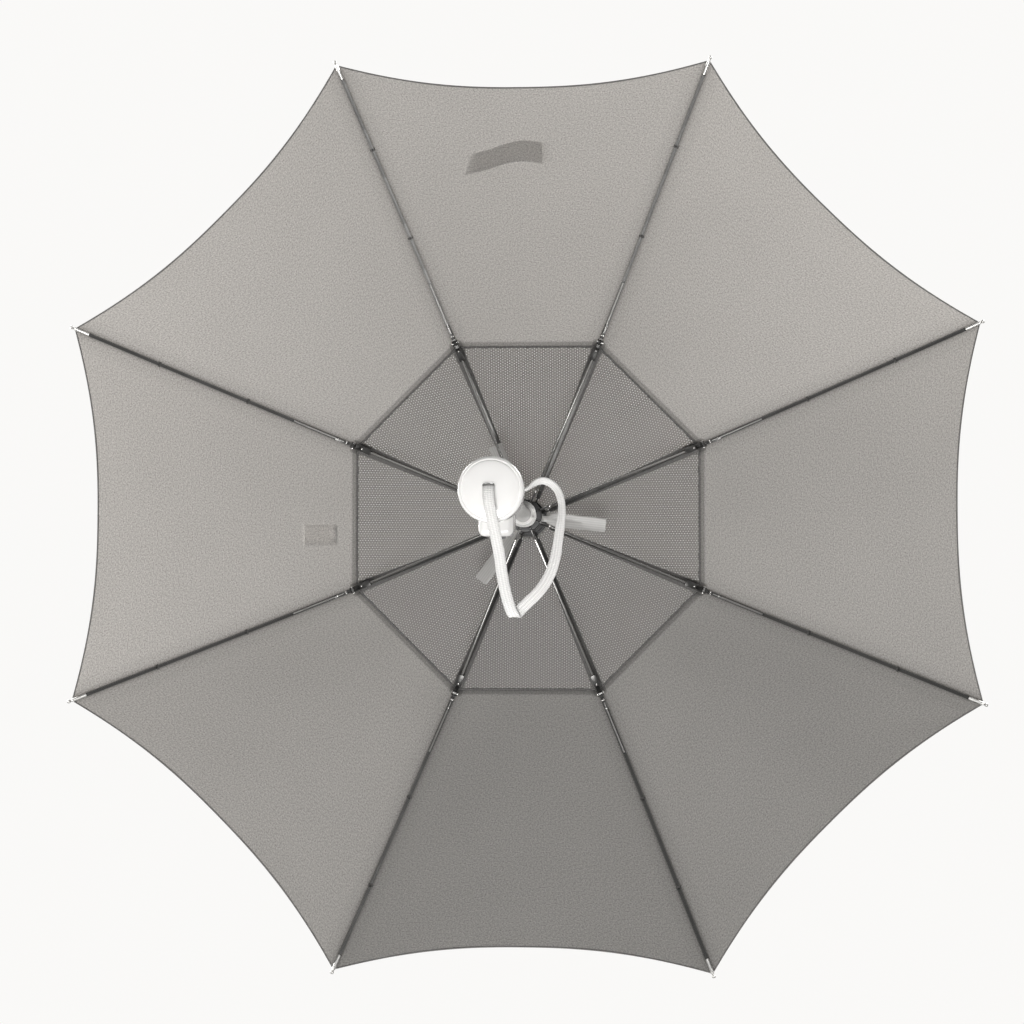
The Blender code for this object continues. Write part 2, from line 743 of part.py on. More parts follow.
# Runner: slotted notch ring, slim sleeve, flange, and a window for its catch button
runner_top = foot_drop - NOTCH_HEIGHT / 2
notch_low = foot_drop + NOTCH_HEIGHT / 2
runner_end = runner_top + RUNNER_LENGTH
flange_start = runner_end - FLANGE_HEIGHT
runner = turned("runner", [
    (bore, runner_top), (NOTCH_RADIUS, runner_top), (NOTCH_RADIUS, notch_low), (SLEEVE_RADIUS, notch_low),
    (SLEEVE_RADIUS, flange_start), (FLANGE_RADIUS, flange_start),
    (FLANGE_RADIUS, runner_end), (bore, runner_end),
])
for i in range(RIB_COUNT):
    slot = plate("slot", [
        (SLOT_FLOOR_RADIUS, runner_top - OVERRUN), (NOTCH_RADIUS + OVERRUN, runner_top - OVERRUN),
        (NOTCH_RADIUS + OVERRUN, notch_low + OVERRUN), (SLOT_FLOOR_RADIUS, notch_low + OVERRUN),
    ], -SLOT_WIDTH / 2, SLOT_WIDTH / 2)
    slot.data.transform(Matrix.Rotation(-rib_azimuth(i), 4, AXIS))
    combine(runner, [slot], "DIFFERENCE")
button_end = flange_start - BUTTON_TO_FLANGE + GAP
button_start = button_end - BUTTON_LENGTH
window = box(
    "window",
    (-BUTTON_WIDTH / 2 - GAP, GRIP_TO_CROWN - button_end - GAP, -SLEEVE_RADIUS - OVERRUN),
    (BUTTON_WIDTH / 2 + GAP, GRIP_TO_CROWN - button_start + GAP, -SHAFT_RADIUS + GAP),
)
combine(runner, [window], "DIFFERENCE")
tidy(runner)
paint(set_origin(runner, crown_axis_point(foot_drop)), white)
button_in = SHAFT_RADIUS + SLIDE_GAP + BUTTON_TRAVEL
runner_button = box(
    "runner_button",
    (-BUTTON_WIDTH / 2, GRIP_TO_CROWN - button_end, -SLEEVE_RADIUS - BUTTON_PROUD),
    (BUTTON_WIDTH / 2, GRIP_TO_CROWN - button_start, -button_in),
)
bevel = runner_button.modifiers.new("edges", "BEVEL")
bevel.width = GAP
bevel.segments = 2
settle(runner_button)
button_middle = GRIP_TO_CROWN - (button_start + button_end) / 2
paint(set_origin(runner_button, Vector((0, button_middle, -SLEEVE_RADIUS))), white)

# Fan motor, hub and folding blades
motor_end = MOTOR_TOP_DROP + MOTOR_LENGTH
chamfer = MOTOR_RADIUS * 0.1
paint(
    turned("fan_motor", [
        (bore, MOTOR_TOP_DROP), (MOTOR_RADIUS - chamfer, MOTOR_TOP_DROP),
        (MOTOR_RADIUS, MOTOR_TOP_DROP + chamfer),
        (MOTOR_RADIUS, motor_end - chamfer), (MOTOR_RADIUS - chamfer, motor_end), (bore, motor_end),
    ]),
    dark_grey,
)
hub_start = motor_end + FAN_GAP
hub_end = hub_start + HUB_LENGTH
hub_bore = SHAFT_RADIUS + HUB_BORE_GAP
blade_drop = (hub_start + hub_end) / 2
hub = turned("fan_hub", [
    (hub_bore, hub_start), (HUB_RADIUS, hub_start), (HUB_RADIUS, hub_end - chamfer),
    (HUB_RADIUS - chamfer, hub_end), (hub_bore, hub_end),
])
lug_in = KNUCKLE_HALF + GAP
lug_out = lug_in + HUB_LUG_THICKNESS
ear_root = (hub_bore + HUB_RADIUS) / 2
blades = []
for i in range(BLADE_COUNT):
    az = BLADE_FIRST_AZIMUTH + 2 * math.pi * i / BLADE_COUNT
    turn = Matrix.Rotation(-az, 4, AXIS)
    for way in (-1, 1):
        ear = plate("ear", [
            (ear_root, blade_drop - KNUCKLE_RADIUS), (BLADE_HINGE_RADIUS, blade_drop - KNUCKLE_RADIUS),
            (BLADE_HINGE_RADIUS, blade_drop + KNUCKLE_RADIUS), (ear_root, blade_drop + KNUCKLE_RADIUS),
        ], way * lug_in, way * lug_out)
        ear_round = disc(
            "ear_round", BLADE_HINGE_RADIUS, blade_drop, KNUCKLE_RADIUS, way * lug_in, way * lug_out
        )
        combine(ear, [ear_round], "UNION")
        ear.data.transform(turn)
        combine(hub, [ear], "UNION")
    pin_side = (lug_in + lug_out) / 2
    hinge_pin = disc("hinge_pin", BLADE_HINGE_RADIUS, blade_drop, HINGE_PIN_RADIUS, -pin_side, pin_side, 8)
    hinge_pin.data.transform(turn)
    combine(hub, [hinge_pin], "UNION")
    knuckle = disc("knuckle", BLADE_HINGE_RADIUS, blade_drop, KNUCKLE_RADIUS, -KNUCKLE_HALF, KNUCKLE_HALF)
    loops = []
    root_share = 0.42
    stations = [
        (BLADE_HINGE_RADIUS + KNUCKLE_RADIUS * 0.5, root_share, 0.0),
        (BLADE_HINGE_RADIUS + KNUCKLE_RADIUS * 2, root_share, 0.3),
        (BLADE_HINGE_RADIUS + KNUCKLE_RADIUS * 4, 1.0, 1.0),
        (BLADE_TIP_RADIUS - BLADE_WIDTH * 0.25, 1.0, 0.8),
        (BLADE_TIP_RADIUS - BLADE_WIDTH * 0.05, 0.98, 0.75),
        (BLADE_TIP_RADIUS, 0.88, 0.75),
    ]
    for r, width_share, pitch_share in stations:
        loop = []
        pitch = BLADE_PITCH * pitch_share
        for across, thick in ((-0.5, 0), (-0.2, 0.5), (0.2, 0.5), (0.5, 0), (0.2, -0.5), (-0.2, -0.5)):
            w = BLADE_WIDTH * width_share * across
            t = BLADE_THICKNESS * thick
            side = w * math.cos(pitch) - t * math.sin(pitch)
            loop.append(spot(r, blade_drop - w * math.sin(pitch) - t * math.cos(pitch), 0.0, side))
        loops.append(loop)
    blade = tube_of(f"blade_{i + 1}", loops)
    combine(blade, [knuckle], "UNION")
    knuckle_bore = disc(
        "knuckle_bore", BLADE_HINGE_RADIUS, blade_drop, HINGE_PIN_RADIUS + PIN_CLEARANCE, -KNUCKLE_HALF - GAP,
        KNUCKLE_HALF + GAP, 10,
    )
    combine(blade, [knuckle_bore], "DIFFERENCE")
    blade.data.transform(turn)
    set_origin(blade, spot(BLADE_HINGE_RADIUS, blade_drop, az))
    paint(blade, white)
tidy(hub)
paint(set_origin(hub, crown_axis_point(blade_drop)), dark_grey)

# Handle: two half shells with bulkheads, split on the level plane
cap_end_drop = GRIP_TO_CROWN + GRIP_TO_CAP_END


def from_cap(height):
    """The drop of a place at a height above the handle's cap end."""
    return cap_end_drop - height


outer = [
    (HANDLE_FOOT_RADIUS, CAP_HEIGHT + GAP), (HANDLE_LOW_RADIUS, HANDLE_LENGTH * HANDLE_LOW_SHARE),
    (HANDLE_MID_RADIUS, HANDLE_LENGTH * HANDLE_MID_SHARE),
    (HANDLE_HIGH_RADIUS, HANDLE_LENGTH * HANDLE_HIGH_SHARE),
    (HANDLE_TOP_RADIUS, HANDLE_LENGTH - HANDLE_WALL), (HANDLE_TOP_RADIUS - HANDLE_WALL, HANDLE_LENGTH),
]


def handle_radius(height):
    for (r0, h0), (r1, h1) in zip(outer, outer[1:]):
        if h0 <= height <= h1:
            return r0 + (r1 - r0) * (height - h0) / (h1 - h0)
    return outer[0][0] if height < outer[0][1] else outer[-1][0]


def handle_inner(height):
    return handle_radius(height) - HANDLE_WALL


# The inside, from the top down: a collar, then bulkheads for the shaft's end and for the battery
cradle = BATTERY_RADIUS + GAP
shaft_end_height = HANDLE_LENGTH - shaft_in_handle
collar_start = HANDLE_LENGTH - BULKHEAD * 3
first_bulkhead = CAP_HEIGHT + CAP_SPIGOT_LENGTH + SPIGOT_TO_BULKHEAD
battery_start = first_bulkhead - BULKHEAD / 2
third_bulkhead = battery_start + BATTERY_LENGTH
second_bulkhead = battery_start + BATTERY_LENGTH * MIDDLE_BULKHEAD_SHARE
bulkheads = [
    (shaft_end_height + BULKHEAD, bore), (third_bulkhead, cradle),
    (second_bulkhead, cradle), (first_bulkhead, cradle),
]
inner_line = [(bore, HANDLE_LENGTH), (bore, collar_start)]
stretch_top = collar_start
for height, hole in bulkheads:
    stretch_low = height + BULKHEAD
    inner_line.append((handle_inner(stretch_top), stretch_top))
    for _, break_height in reversed(outer[1:-2]):
        if stretch_low < break_height < stretch_top:
            inner_line.append((handle_inner(break_height), break_height))
    inner_line.append((handle_inner(stretch_low), stretch_low))
    inner_line.append((hole, stretch_low))
    inner_line.append((hole, height))
    stretch_top = height
inner_line.append((handle_inner(stretch_top), stretch_top))
inner_line.append((HANDLE_FOOT_RADIUS - HANDLE_WALL, CAP_HEIGHT + GAP))
profile = [(r, from_cap(h)) for r, h in outer + inner_line]
for name, way in (("handle_upper", 1), ("handle_lower", -1)):
    shell = turned(name, profile, 28)
    reach = HOUSING_REACH + OVERRUN
    low = GRIP_TO_CROWN - cap_end_drop - OVERRUN
    high = low + HANDLE_LENGTH + 2 * OVERRUN
    if way > 0:
        keep = box("keep", (-reach, low, GAP / 2), (reach, high, reach))
    else:
        keep = box("keep", (-reach, low, -reach), (reach, high, -GAP / 2))
    combine(shell, [keep], "INTERSECT")
    tidy(shell)
    paint(shell, white)

# Battery and circuit board, held between the bulkheads
paint(
    turned("battery", [
        (0, from_cap(battery_start)), (BATTERY_RADIUS, from_cap(battery_start)),
        (BATTERY_RADIUS, from_cap(battery_start + BATTERY_LENGTH)),
        (BATTERY_RADIUS / 3, from_cap(battery_start + BATTERY_LENGTH)),
        (BATTERY_RADIUS / 3, from_cap(battery_start + BATTERY_LENGTH + BULKHEAD / 2)),
        (0, from_cap(battery_start + BATTERY_LENGTH + BULKHEAD / 2)),
    ], 24),
    green,
)
board_low = GRIP_TO_CROWN - from_cap(first_bulkhead + BULKHEAD + GAP)
board_high = GRIP_TO_CROWN - from_cap(second_bulkhead - GAP)
paint(
    box(
        "circuit_board", (-BOARD_WIDTH / 2, board_low, -BOARD_DEPTH - BOARD_THICKNESS / 2),
        (BOARD_WIDTH / 2, board_high, -BOARD_DEPTH + BOARD_THICKNESS / 2),
    ),
    green,
)

# Switch housing under the handle, fitted round it, with the power button in its outer face
housing_start = CAP_HEIGHT + HOUSING_TO_CAP
housing_low = GRIP_TO_CROWN - from_cap(housing_start)
housing = box(
    "switch_housing", (-HOUSING_WIDTH / 2, housing_low, -HOUSING_REACH),
    (HOUSING_WIDTH / 2, housing_low + HOUSING_LENGTH, -handle_radius(housing_start) / 2),
)
bevel = housing.modifiers.new("edges", "BEVEL")
bevel.width = HOUSING_EDGE
bevel.segments = 3
settle(housing)
grown = [(HANDLE_FOOT_RADIUS + GAP, from_cap(CAP_HEIGHT - OVERRUN))]
grown += [(r + GAP, from_cap(h)) for r, h in outer[1:]]
grown += [(0, from_cap(HANDLE_LENGTH)), (0, from_cap(CAP_HEIGHT - OVERRUN))]
around = turned("around", grown, 28)
combine(housing, [around], "DIFFERENCE")
power_y = housing_low + HOUSING_LENGTH * 0.55
well = POWER_DEPTH + POWER_TRAVEL + GAP


def upright_disc(name, size, low, high, segments=16):
    """A round piece whose axis is vertical, over the middle of the switch housing."""
    loops = []
    for z in (low, high):
        loop = []
        for j in range(segments):
            a = 2 * math.pi * j / segments
            loop.append(Vector((size * math.cos(a), power_y + size * math.sin(a), z)))
        loops.append(loop)
    return tube_of(name, loops)


well_cut = upright_disc("well", POWER_RADIUS + GAP, -HOUSING_REACH - OVERRUN, -HOUSING_REACH + well)
combine(housing, [well_cut], "DIFFERENCE")
tidy(housing)
paint(housing, white)
power = upright_disc("power_button", POWER_RADIUS, -HOUSING_REACH - POWER_PROUD, -HOUSING_REACH + POWER_DEPTH)
bevel = power.modifiers.new("edges", "BEVEL")
bevel.width = POWER_PROUD / 3
bevel.segments = 2
bevel.limit_method = "ANGLE"
settle(power)
paint(set_origin(power, Vector((0, power_y, -HOUSING_REACH))), dark_grey)

# End cap: a domed disc with a spigot, the hole that the wrist strap leaves by and the slot where it goes back
spigot_out = HANDLE_FOOT_RADIUS - HANDLE_WALL - GAP
spigot_in = spigot_out - HANDLE_WALL * 0.7
cap_top = CAP_HEIGHT + CAP_SPIGOT_LENGTH
end_cap = turned("end_cap", [
    (0, from_cap(0)), (CAP_RADIUS * 0.5, from_cap(CAP_DOME * 0.12)),
    (CAP_RADIUS * 0.78, from_cap(CAP_DOME * 0.36)),
    (CAP_RADIUS * 0.9, from_cap(CAP_DOME * 0.62)), (CAP_RADIUS * 0.975, from_cap(CAP_DOME)),
    (CAP_RADIUS, from_cap(CAP_DOME * 1.8)), (CAP_RADIUS, from_cap(CAP_HEIGHT - CAP_DOME * 0.4)),
    (CAP_RADIUS * 0.98, from_cap(CAP_HEIGHT)), (spigot_out, from_cap(CAP_HEIGHT)),
    (spigot_out, from_cap(cap_top)),
    (spigot_in, from_cap(cap_top)), (spigot_in, from_cap(CAP_DOME + CAP_SHELL * 0.6)),
    (0, from_cap(CAP_SHELL)),
], 28)
cap_y = GRIP_TO_CROWN - cap_end_drop
hole_loops = []
for y in (cap_y - OVERRUN, cap_y + CAP_SHELL + CAP_DOME):
    loop = []
    for j in range(12):
        a = 2 * math.pi * j / 12
        x = -CAP_HOLE_OFFSET / 2 + CAP_HOLE_RADIUS * math.cos(a)
        loop.append(Vector((x, y, CAP_HOLE_OFFSET + CAP_HOLE_RADIUS * math.sin(a))))
    hole_loops.append(loop)
strap_hole = tube_of("strap_hole", hole_loops)
slot_middle = cap_y + CAP_HEIGHT * 0.62
slot_half = STRAP_WIDTH / 2 + 2 * GAP
strap_slot = box(
    "strap_slot", (spigot_in - OVERRUN, slot_middle - slot_half, -STRAP_THICKNESS),
    (CAP_RADIUS + OVERRUN, slot_middle + slot_half, STRAP_THICKNESS),
)
combine(end_cap, [strap_hole, strap_slot], "DIFFERENCE")
tidy(end_cap)
paint(set_origin(end_cap, Vector((0, cap_y, 0))), white)

# Wrist strap: a flat braided cord out of the cap's hole, down, up and back into its side.
# Each point has its place and the direction of the strap's width.
ROUTE = [
    ((-0.0012, -0.0795, 0.0024), (1.0, 0.0, 0.0)),
    ((-0.0012, -0.0850, 0.0024), (1.0, 0.0, 0.0)),
    ((-0.0010, -0.0888, 0.0006), (1.0, 0.0, 0.0)),
    ((-0.0006, -0.0899, -0.0067), (1.0, 0.0, 0.0)),
    ((0.0010, -0.0886, -0.0171), (1.0, 0.0, 0.1)),
    ((0.0034, -0.0862, -0.0290), (1.0, 0.0, 0.15)),
    ((0.0056, -0.0842, -0.0409), (1.0, 0.0, 0.2)),
    ((0.0072, -0.0830, -0.0528), (1.0, 0.0, 0.2)),
    ((0.0095, -0.0822, -0.0645), (1.0, 0.0, 0.25)),
    ((0.0121, -0.0816, -0.0730), (1.0, 0.0, 0.25)),
    ((0.0140, -0.0798, -0.0768), (1.0, 0.0, 0.1)),
    ((0.0154, -0.0775, -0.0768), (1.0, 0.0, -0.15)),
    ((0.0180, -0.0765, -0.0738), (0.9, 0.0, -0.45)),
    ((0.0222, -0.0766, -0.0696), (0.75, 0.0, -0.65)),
    ((0.0282, -0.0769, -0.0638), (0.73, -0.1, -0.68)),
    ((0.0334, -0.0770, -0.0571), (0.86, -0.15, -0.5)),
    ((0.0373, -0.0769, -0.0490), (0.9, -0.25, -0.35)),
    ((0.0398, -0.0767, -0.0403), (0.85, -0.4, -0.2)),
    ((0.0412, -0.0764, -0.0315), (0.8, -0.55, -0.1)),
    ((0.0424, -0.0760, -0.0227), (0.75, -0.62, -0.1)),
    ((0.0434, -0.0755, -0.0138), (0.62, -0.78, 0.0)),
    ((0.0430, -0.0751, -0.0062), (0.55, -0.8, 0.2)),
    ((0.0404, -0.0749, 0.0002), (0.4, -0.8, 0.4)),
    ((0.0362, -0.0749, 0.0042), (0.25, -0.8, 0.5)),
    ((0.0311, -0.0751, 0.0056), (0.0, -0.85, 0.5)),
    ((0.0264, -0.0756, 0.0038), (-0.1, -0.95, 0.3)),
    ((0.0231, -0.0761, 0.0012), (0.0, -1.0, 0.1)),
    ((0.0205, -0.0763, 0.0000), (0.0, -1.0, 0.0)),
    ((0.0165, -0.0763, 0.0000), (0.0, -1.0, 0.0)),
    ((0.0130, -0.0763, 0.0000), (0.0, -1.0, 0.0)),
]


def smooth(values, t):
    """A point of the smooth curve through the values, at t from 0 to 1."""
    x = t * (len(values) - 1)
    i = min(int(x), len(values) - 2)
    f = x - i
    p1 = Vector(values[i])
    p2 = Vector(values[i + 1])
    p0 = Vector(values[i - 1]) if i > 0 else p1 * 2 - p2
    p3 = Vector(values[i + 2]) if i + 2 < len(values) else p2 * 2 - p1
    square = 2 * p0 - 5 * p1 + 4 * p2 - p3
    cube = 3 * p1 - p0 - 3 * p2 + p3
    return 0.5 * (2 * p1 + (p2 - p0) * f + square * f**2 + cube * f**3)


STRAP_STEPS = 50
loops = []
edge = STRAP_THICKNESS * 0.3
side = STRAP_WIDTH / 2
top = STRAP_THICKNESS / 2
section = [
    (-side, 0), (-side + edge, top), (side - edge, top), (side, 0), (side - edge, -top), (-side + edge, -top),
]
for i in range(STRAP_STEPS + 1):
    t = i / STRAP_STEPS
    here = smooth([p for p, _ in ROUTE], t)
    before = smooth([p for p, _ in ROUTE], max(0.0, t - 0.01))
    after = smooth([p for p, _ in ROUTE], min(1.0, t + 0.01))
    along = (after - before).normalized()
    across = smooth([w for _, w in ROUTE], t)
    across = (across - along * across.dot(along)).normalized()
    out = along.cross(across)
    loops.append([here + across * w + out * h for w, h in section])
wrist_strap = tube_of("wrist_strap", loops)
paint(wrist_strap, white)

# Closing strap and its fastener patch, on the outside of the cloth
outer_lift = fabric_lift + FABRIC_THICKNESS + GAP


def on_outside(x, z, lift):
    """The point of the canopy's outside over a place in the plane across the shaft."""
    azimuth = math.atan2(z, x) % (2 * math.pi)
    nearest = int(azimuth / (2 * HALF_STEP)) % RIB_COUNT
    delta = azimuth - rib_azimuth(nearest)
    rho = math.hypot(x, z) / chord(delta)
    return on_canopy(rho, rib_azimuth(nearest), delta, lift)


def outside_piece(name, rows, thickness):
    """A thin piece on the cloth through rows of (x, z) pairs, as a closed solid."""
    count = len(rows[0])
    points = [on_outside(x, z, outer_lift) for row in rows for x, z in row]
    points += [on_outside(x, z, outer_lift + thickness) for row in rows for x, z in row]
    total = len(rows) * count
    faces = []
    for i in range(len(rows) - 1):
        for j in range(count - 1):
            a = i * count + j
            quad = (a, a + 1, a + count + 1, a + count)
            faces.append(quad)
            faces.append(tuple(total + v for v in reversed(quad)))
    edge_line = [j for j in range(count)]
    edge_line += [i * count + count - 1 for i in range(1, len(rows))]
    edge_line += [(len(rows) - 1) * count + j for j in range(count - 2, -1, -1)]
    edge_line += [i * count for i in range(len(rows) - 2, 0, -1)]
    for a, b in zip(edge_line, edge_line[1:] + edge_line[:1]):
        faces.append((a, b, total + b, total + a))
    return mesh_object(name, points, faces)


tie_rows = []
for i in range(TIE_STEPS + 1):
    share = i / TIE_STEPS
    x = TIE_START - (TIE_START + TIE_END) * share
    z = TIE_HEIGHT + TIE_RISE * math.sin(math.pi * min(1.0, share * 1.4)) - TIE_DIP * share**2
    lean = TIE_WIDTH * 0.2 * share
    tie_rows.append([(x - lean, z - TIE_WIDTH / 2), (x, z), (x + lean, z + TIE_WIDTH / 2)])
paint(outside_piece("closure_strap", tie_rows, TIE_THICKNESS), grey_cloth)
patch_rows = []
for i in range(5):
    x = -PATCH_CENTRE_X + PATCH_WIDTH * (i / 4 - 0.5)
    patch_rows.append([(x, -PATCH_CENTRE_Z + PATCH_HEIGHT * (j / 2 - 0.5)) for j in range(3)])
paint(outside_piece("closure_patch", patch_rows, TIE_THICKNESS), grey_cloth)

total = 0
for obj in bpy.data.objects:
    obj.data.calc_loop_triangles()
    total += len(obj.data.loop_triangles)
print("nodes", len(bpy.data.objects), "triangles", total)
for obj in bpy.data.objects:
    if not obj.name[-1].isdigit() or obj.name.endswith("_1"):
        print(obj.name, len(obj.data.loop_triangles))
slide = 2 * LINK * (math.cos(CLOSED_ANGLE) - math.cos(OPEN_ANGLE))
print("joint", round(joint_radius, 5), round(joint_drop, 5), "slide", round(slide, 5))
print("arc", round(arc_size, 4), "slopes", math.degrees(start_slope), math.degrees(tip_slope))
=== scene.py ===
"""Fan umbrella, open and held level, seen from inside. Lengths are in metres, +Y runs up the shaft, +Z is up."""

import math

import bmesh
import bpy
from mathutils import Matrix, Vector


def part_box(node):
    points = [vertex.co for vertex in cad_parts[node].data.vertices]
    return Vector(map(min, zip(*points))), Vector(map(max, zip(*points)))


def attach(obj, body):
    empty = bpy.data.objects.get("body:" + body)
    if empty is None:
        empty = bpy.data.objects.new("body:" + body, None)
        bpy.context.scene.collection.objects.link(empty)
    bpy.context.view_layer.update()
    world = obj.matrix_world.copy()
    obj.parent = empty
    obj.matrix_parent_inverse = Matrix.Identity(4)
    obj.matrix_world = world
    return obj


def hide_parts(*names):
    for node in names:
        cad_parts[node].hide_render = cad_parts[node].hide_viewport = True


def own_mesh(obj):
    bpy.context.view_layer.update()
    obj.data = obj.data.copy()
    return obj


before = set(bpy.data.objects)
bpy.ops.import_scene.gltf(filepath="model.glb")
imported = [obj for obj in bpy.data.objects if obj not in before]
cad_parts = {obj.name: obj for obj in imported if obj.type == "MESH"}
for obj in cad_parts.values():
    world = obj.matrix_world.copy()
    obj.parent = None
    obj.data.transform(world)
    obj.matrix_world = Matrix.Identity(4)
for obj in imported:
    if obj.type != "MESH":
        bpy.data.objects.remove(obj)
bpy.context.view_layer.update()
bpy.ops.object.select_all(action="DESELECT")

# Camera
# It stands in front of the handle's cap, a little to the right and below, and looks into the open umbrella.
# The picture is square, 1024 pixels on each side.
camera_place = Vector((0.0626, -1.1389, -0.0479))
camera_way = Vector((-0.04677, 0.9984, 0.03214))
bpy.ops.object.camera_add(location=camera_place, rotation=camera_way.to_track_quat("-Z", "Y").to_euler())
camera = bpy.context.object
camera.name = "camera"
camera.data.lens = 60.82
camera.data.sensor_width = 36.0
bpy.context.scene.camera = camera

# Wrist cord
# A flat cord of white polyester, braided, 7 mm wide. It comes out of the hole in the end cap, hangs in a loop,
# and goes back into the cap's side, where a knot inside holds it.
cord_width = 0.0070
cord_thick = 0.0020
cord_strand = 0.0021
cord_steps = 230
cord_sides = 20
cord_white = (0.765, 0.76, 0.752, 1)
cord_route = [
    ((-0.0012, -0.0795, 0.0024), (1.0, 0.0, 0.0)),
    ((-0.0012, -0.0850, 0.0024), (1.0, 0.0, 0.0)),
    ((-0.0010, -0.0888, 0.0006), (1.0, 0.0, 0.0)),
    ((-0.0006, -0.0899, -0.0067), (1.0, 0.0, 0.0)),
    ((0.0010, -0.0886, -0.0171), (1.0, 0.0, 0.1)),
    ((0.0034, -0.0862, -0.0290), (1.0, 0.0, 0.15)),
    ((0.0056, -0.0842, -0.0409), (1.0, 0.0, 0.2)),
    ((0.0072, -0.0830, -0.0528), (1.0, 0.0, 0.2)),
    ((0.0095, -0.0822, -0.0645), (1.0, 0.0, 0.25)),
    ((0.0121, -0.0816, -0.0730), (1.0, 0.0, 0.25)),
    ((0.0140, -0.0798, -0.0768), (1.0, 0.0, 0.1)),
    ((0.0154, -0.0775, -0.0768), (1.0, 0.0, -0.15)),
    ((0.0180, -0.0765, -0.0738), (0.9, 0.0, -0.45)),
    ((0.0222, -0.0766, -0.0696), (0.75, 0.0, -0.65)),
    ((0.0282, -0.0769, -0.0638), (0.73, -0.1, -0.68)),
    ((0.0334, -0.0770, -0.0571), (0.86, -0.15, -0.5)),
    ((0.0373, -0.0769, -0.0490), (0.9, -0.25, -0.35)),
    ((0.0398, -0.0767, -0.0403), (0.85, -0.4, -0.2)),
    ((0.0412, -0.0764, -0.0315), (0.8, -0.55, -0.1)),
    ((0.0424, -0.0760, -0.0227), (0.75, -0.62, -0.1)),
    ((0.0434, -0.0755, -0.0138), (0.62, -0.78, 0.0)),
    ((0.0430, -0.0751, -0.0062), (0.55, -0.8, 0.2)),
    ((0.0404, -0.0749, 0.0002), (0.4, -0.8, 0.4)),
    ((0.0362, -0.0749, 0.0042), (0.25, -0.8, 0.5)),
    ((0.0311, -0.0751, 0.0056), (0.0, -0.85, 0.5)),
    ((0.0264, -0.0756, 0.0038), (-0.1, -0.95, 0.3)),
    ((0.0231, -0.0761, 0.0012), (0.0, -1.0, 0.1)),
    ((0.0205, -0.0763, 0.0000), (0.0, -1.0, 0.0)),
    ((0.0165, -0.0763, 0.0000), (0.0, -1.0, 0.0)),
    ((0.0130, -0.0763, 0.0000), (0.0, -1.0, 0.0)),
]


def smooth_point(values, t):
    """A point of the smooth curve through the values, at t from 0 to 1."""
    x = t * (len(values) - 1)
    i = min(int(x), len(values) - 2)
    f = x - i
    p1 = Vector(values[i])
    p2 = Vector(values[i + 1])
    p0 = Vector(values[i - 1]) if i > 0 else p1 * 2 - p2
    p3 = Vector(values[i + 2]) if i + 2 < len(values) else p2 * 2 - p1
    square = 2 * p0 - 5 * p1 + 4 * p2 - p3
    cube = 3 * p1 - p0 - 3 * p2 + p3
    return 0.5 * (2 * p1 + (p2 - p0) * f + square * f**2 + cube * f**3)


def sewn_tube(name, loops, girth):
    """A closed tube through loops of points, with a map in metres along and around it."""
    sides = len(loops[0])
    mesh = bpy.data.meshes.new(name)
    points = [p for loop in loops for p in loop]
    faces = []
    for i in range(len(loops) - 1):
        for j in range(sides):
            k = (j + 1) % sides
            faces.append((i * sides + j, i * sides + k, (i + 1) * sides + k, (i + 1) * sides + j))
    faces.append(tuple(range(sides)))
    last = (len(loops) - 1) * sides
    faces.append(tuple(range(last, last + sides)))
    mesh.from_pydata([tuple(p) for p in points], [], faces)
    run = [0.0]
    for a, b in zip(loops, loops[1:]):
        run.append(run[-1] + (b[0] - a[0]).length)
    uv = mesh.uv_layers.new(name="cut")
    for face in mesh.polygons:
        for loop_index in face.loop_indices:
            vertex = mesh.loops[loop_index].vertex_index
            row = vertex // sides
            side = vertex % sides
            if side == 0 and len(face.vertices) == 4 and max(v % sides for v in face.vertices) == sides - 1:
                side = sides
            uv.data[loop_index].uv = (run[row], girth * side / sides)
    piece = bpy.data.objects.new(name, mesh)
    bpy.context.collection.objects.link(piece)
    shape = bmesh.new()
    shape.from_mesh(mesh)
    bmesh.ops.recalc_face_normals(shape, faces=shape.faces)
    shape.to_mesh(mesh)
    shape.free()
    mesh.shade_smooth()
    return piece


cord_loops = []
for i in range(cord_steps + 1):
    t = i / cord_steps
    here = smooth_point([p for p, _ in cord_route], t)
    before = smooth_point([p for p, _ in cord_route], max(0.0, t - 0.01))
    after = smooth_point([p for p, _ in cord_route], min(1.0, t + 0.01))
    along = (after - before).normalized()
    across = smooth_point([w for _, w in cord_route], t)
    across = (across - along * across.dot(along)).normalized()
    out = along.cross(across)
    loop = []
    for j in range(cord_sides):
        a = 2 * math.pi * j / cord_sides
        w = math.copysign(abs(math.cos(a)) ** 0.6, math.cos(a)) * cord_width / 2
        h = math.copysign(abs(math.sin(a)) ** 0.8, math.sin(a)) * cord_thick / 2
        loop.append(here + across * w + out * h)
    cord_loops.append(loop)
wrist_cord = sewn_tube("wrist_cord", cord_loops, 2 * (cord_width + cord_thick))


def start_material(name, colour, roughness, metallic=0.0):
    """A new material with its Principled shader, and its tree to work in."""
    material = bpy.data.materials.new(name)
    material.use_nodes = True
    material.diffuse_color = colour
    tree = material.node_tree
    shader = tree.nodes["Principled BSDF"]
    shader.inputs["Base Color"].default_value = colour
    shader.inputs["Roughness"].default_value = roughness
    shader.inputs["Metallic"].default_value = metallic
    return material, tree, shader


def calc(tree, operation, *values):
    """A Math node on sockets or numbers, and its output."""
    node = tree.nodes.new("ShaderNodeMath")
    node.operation = operation
    for socket, value in zip(node.inputs, values):
        if isinstance(value, (int, float)):
            socket.default_value = value
        else:
            tree.links.new(value, socket)
    return node.outputs[0]


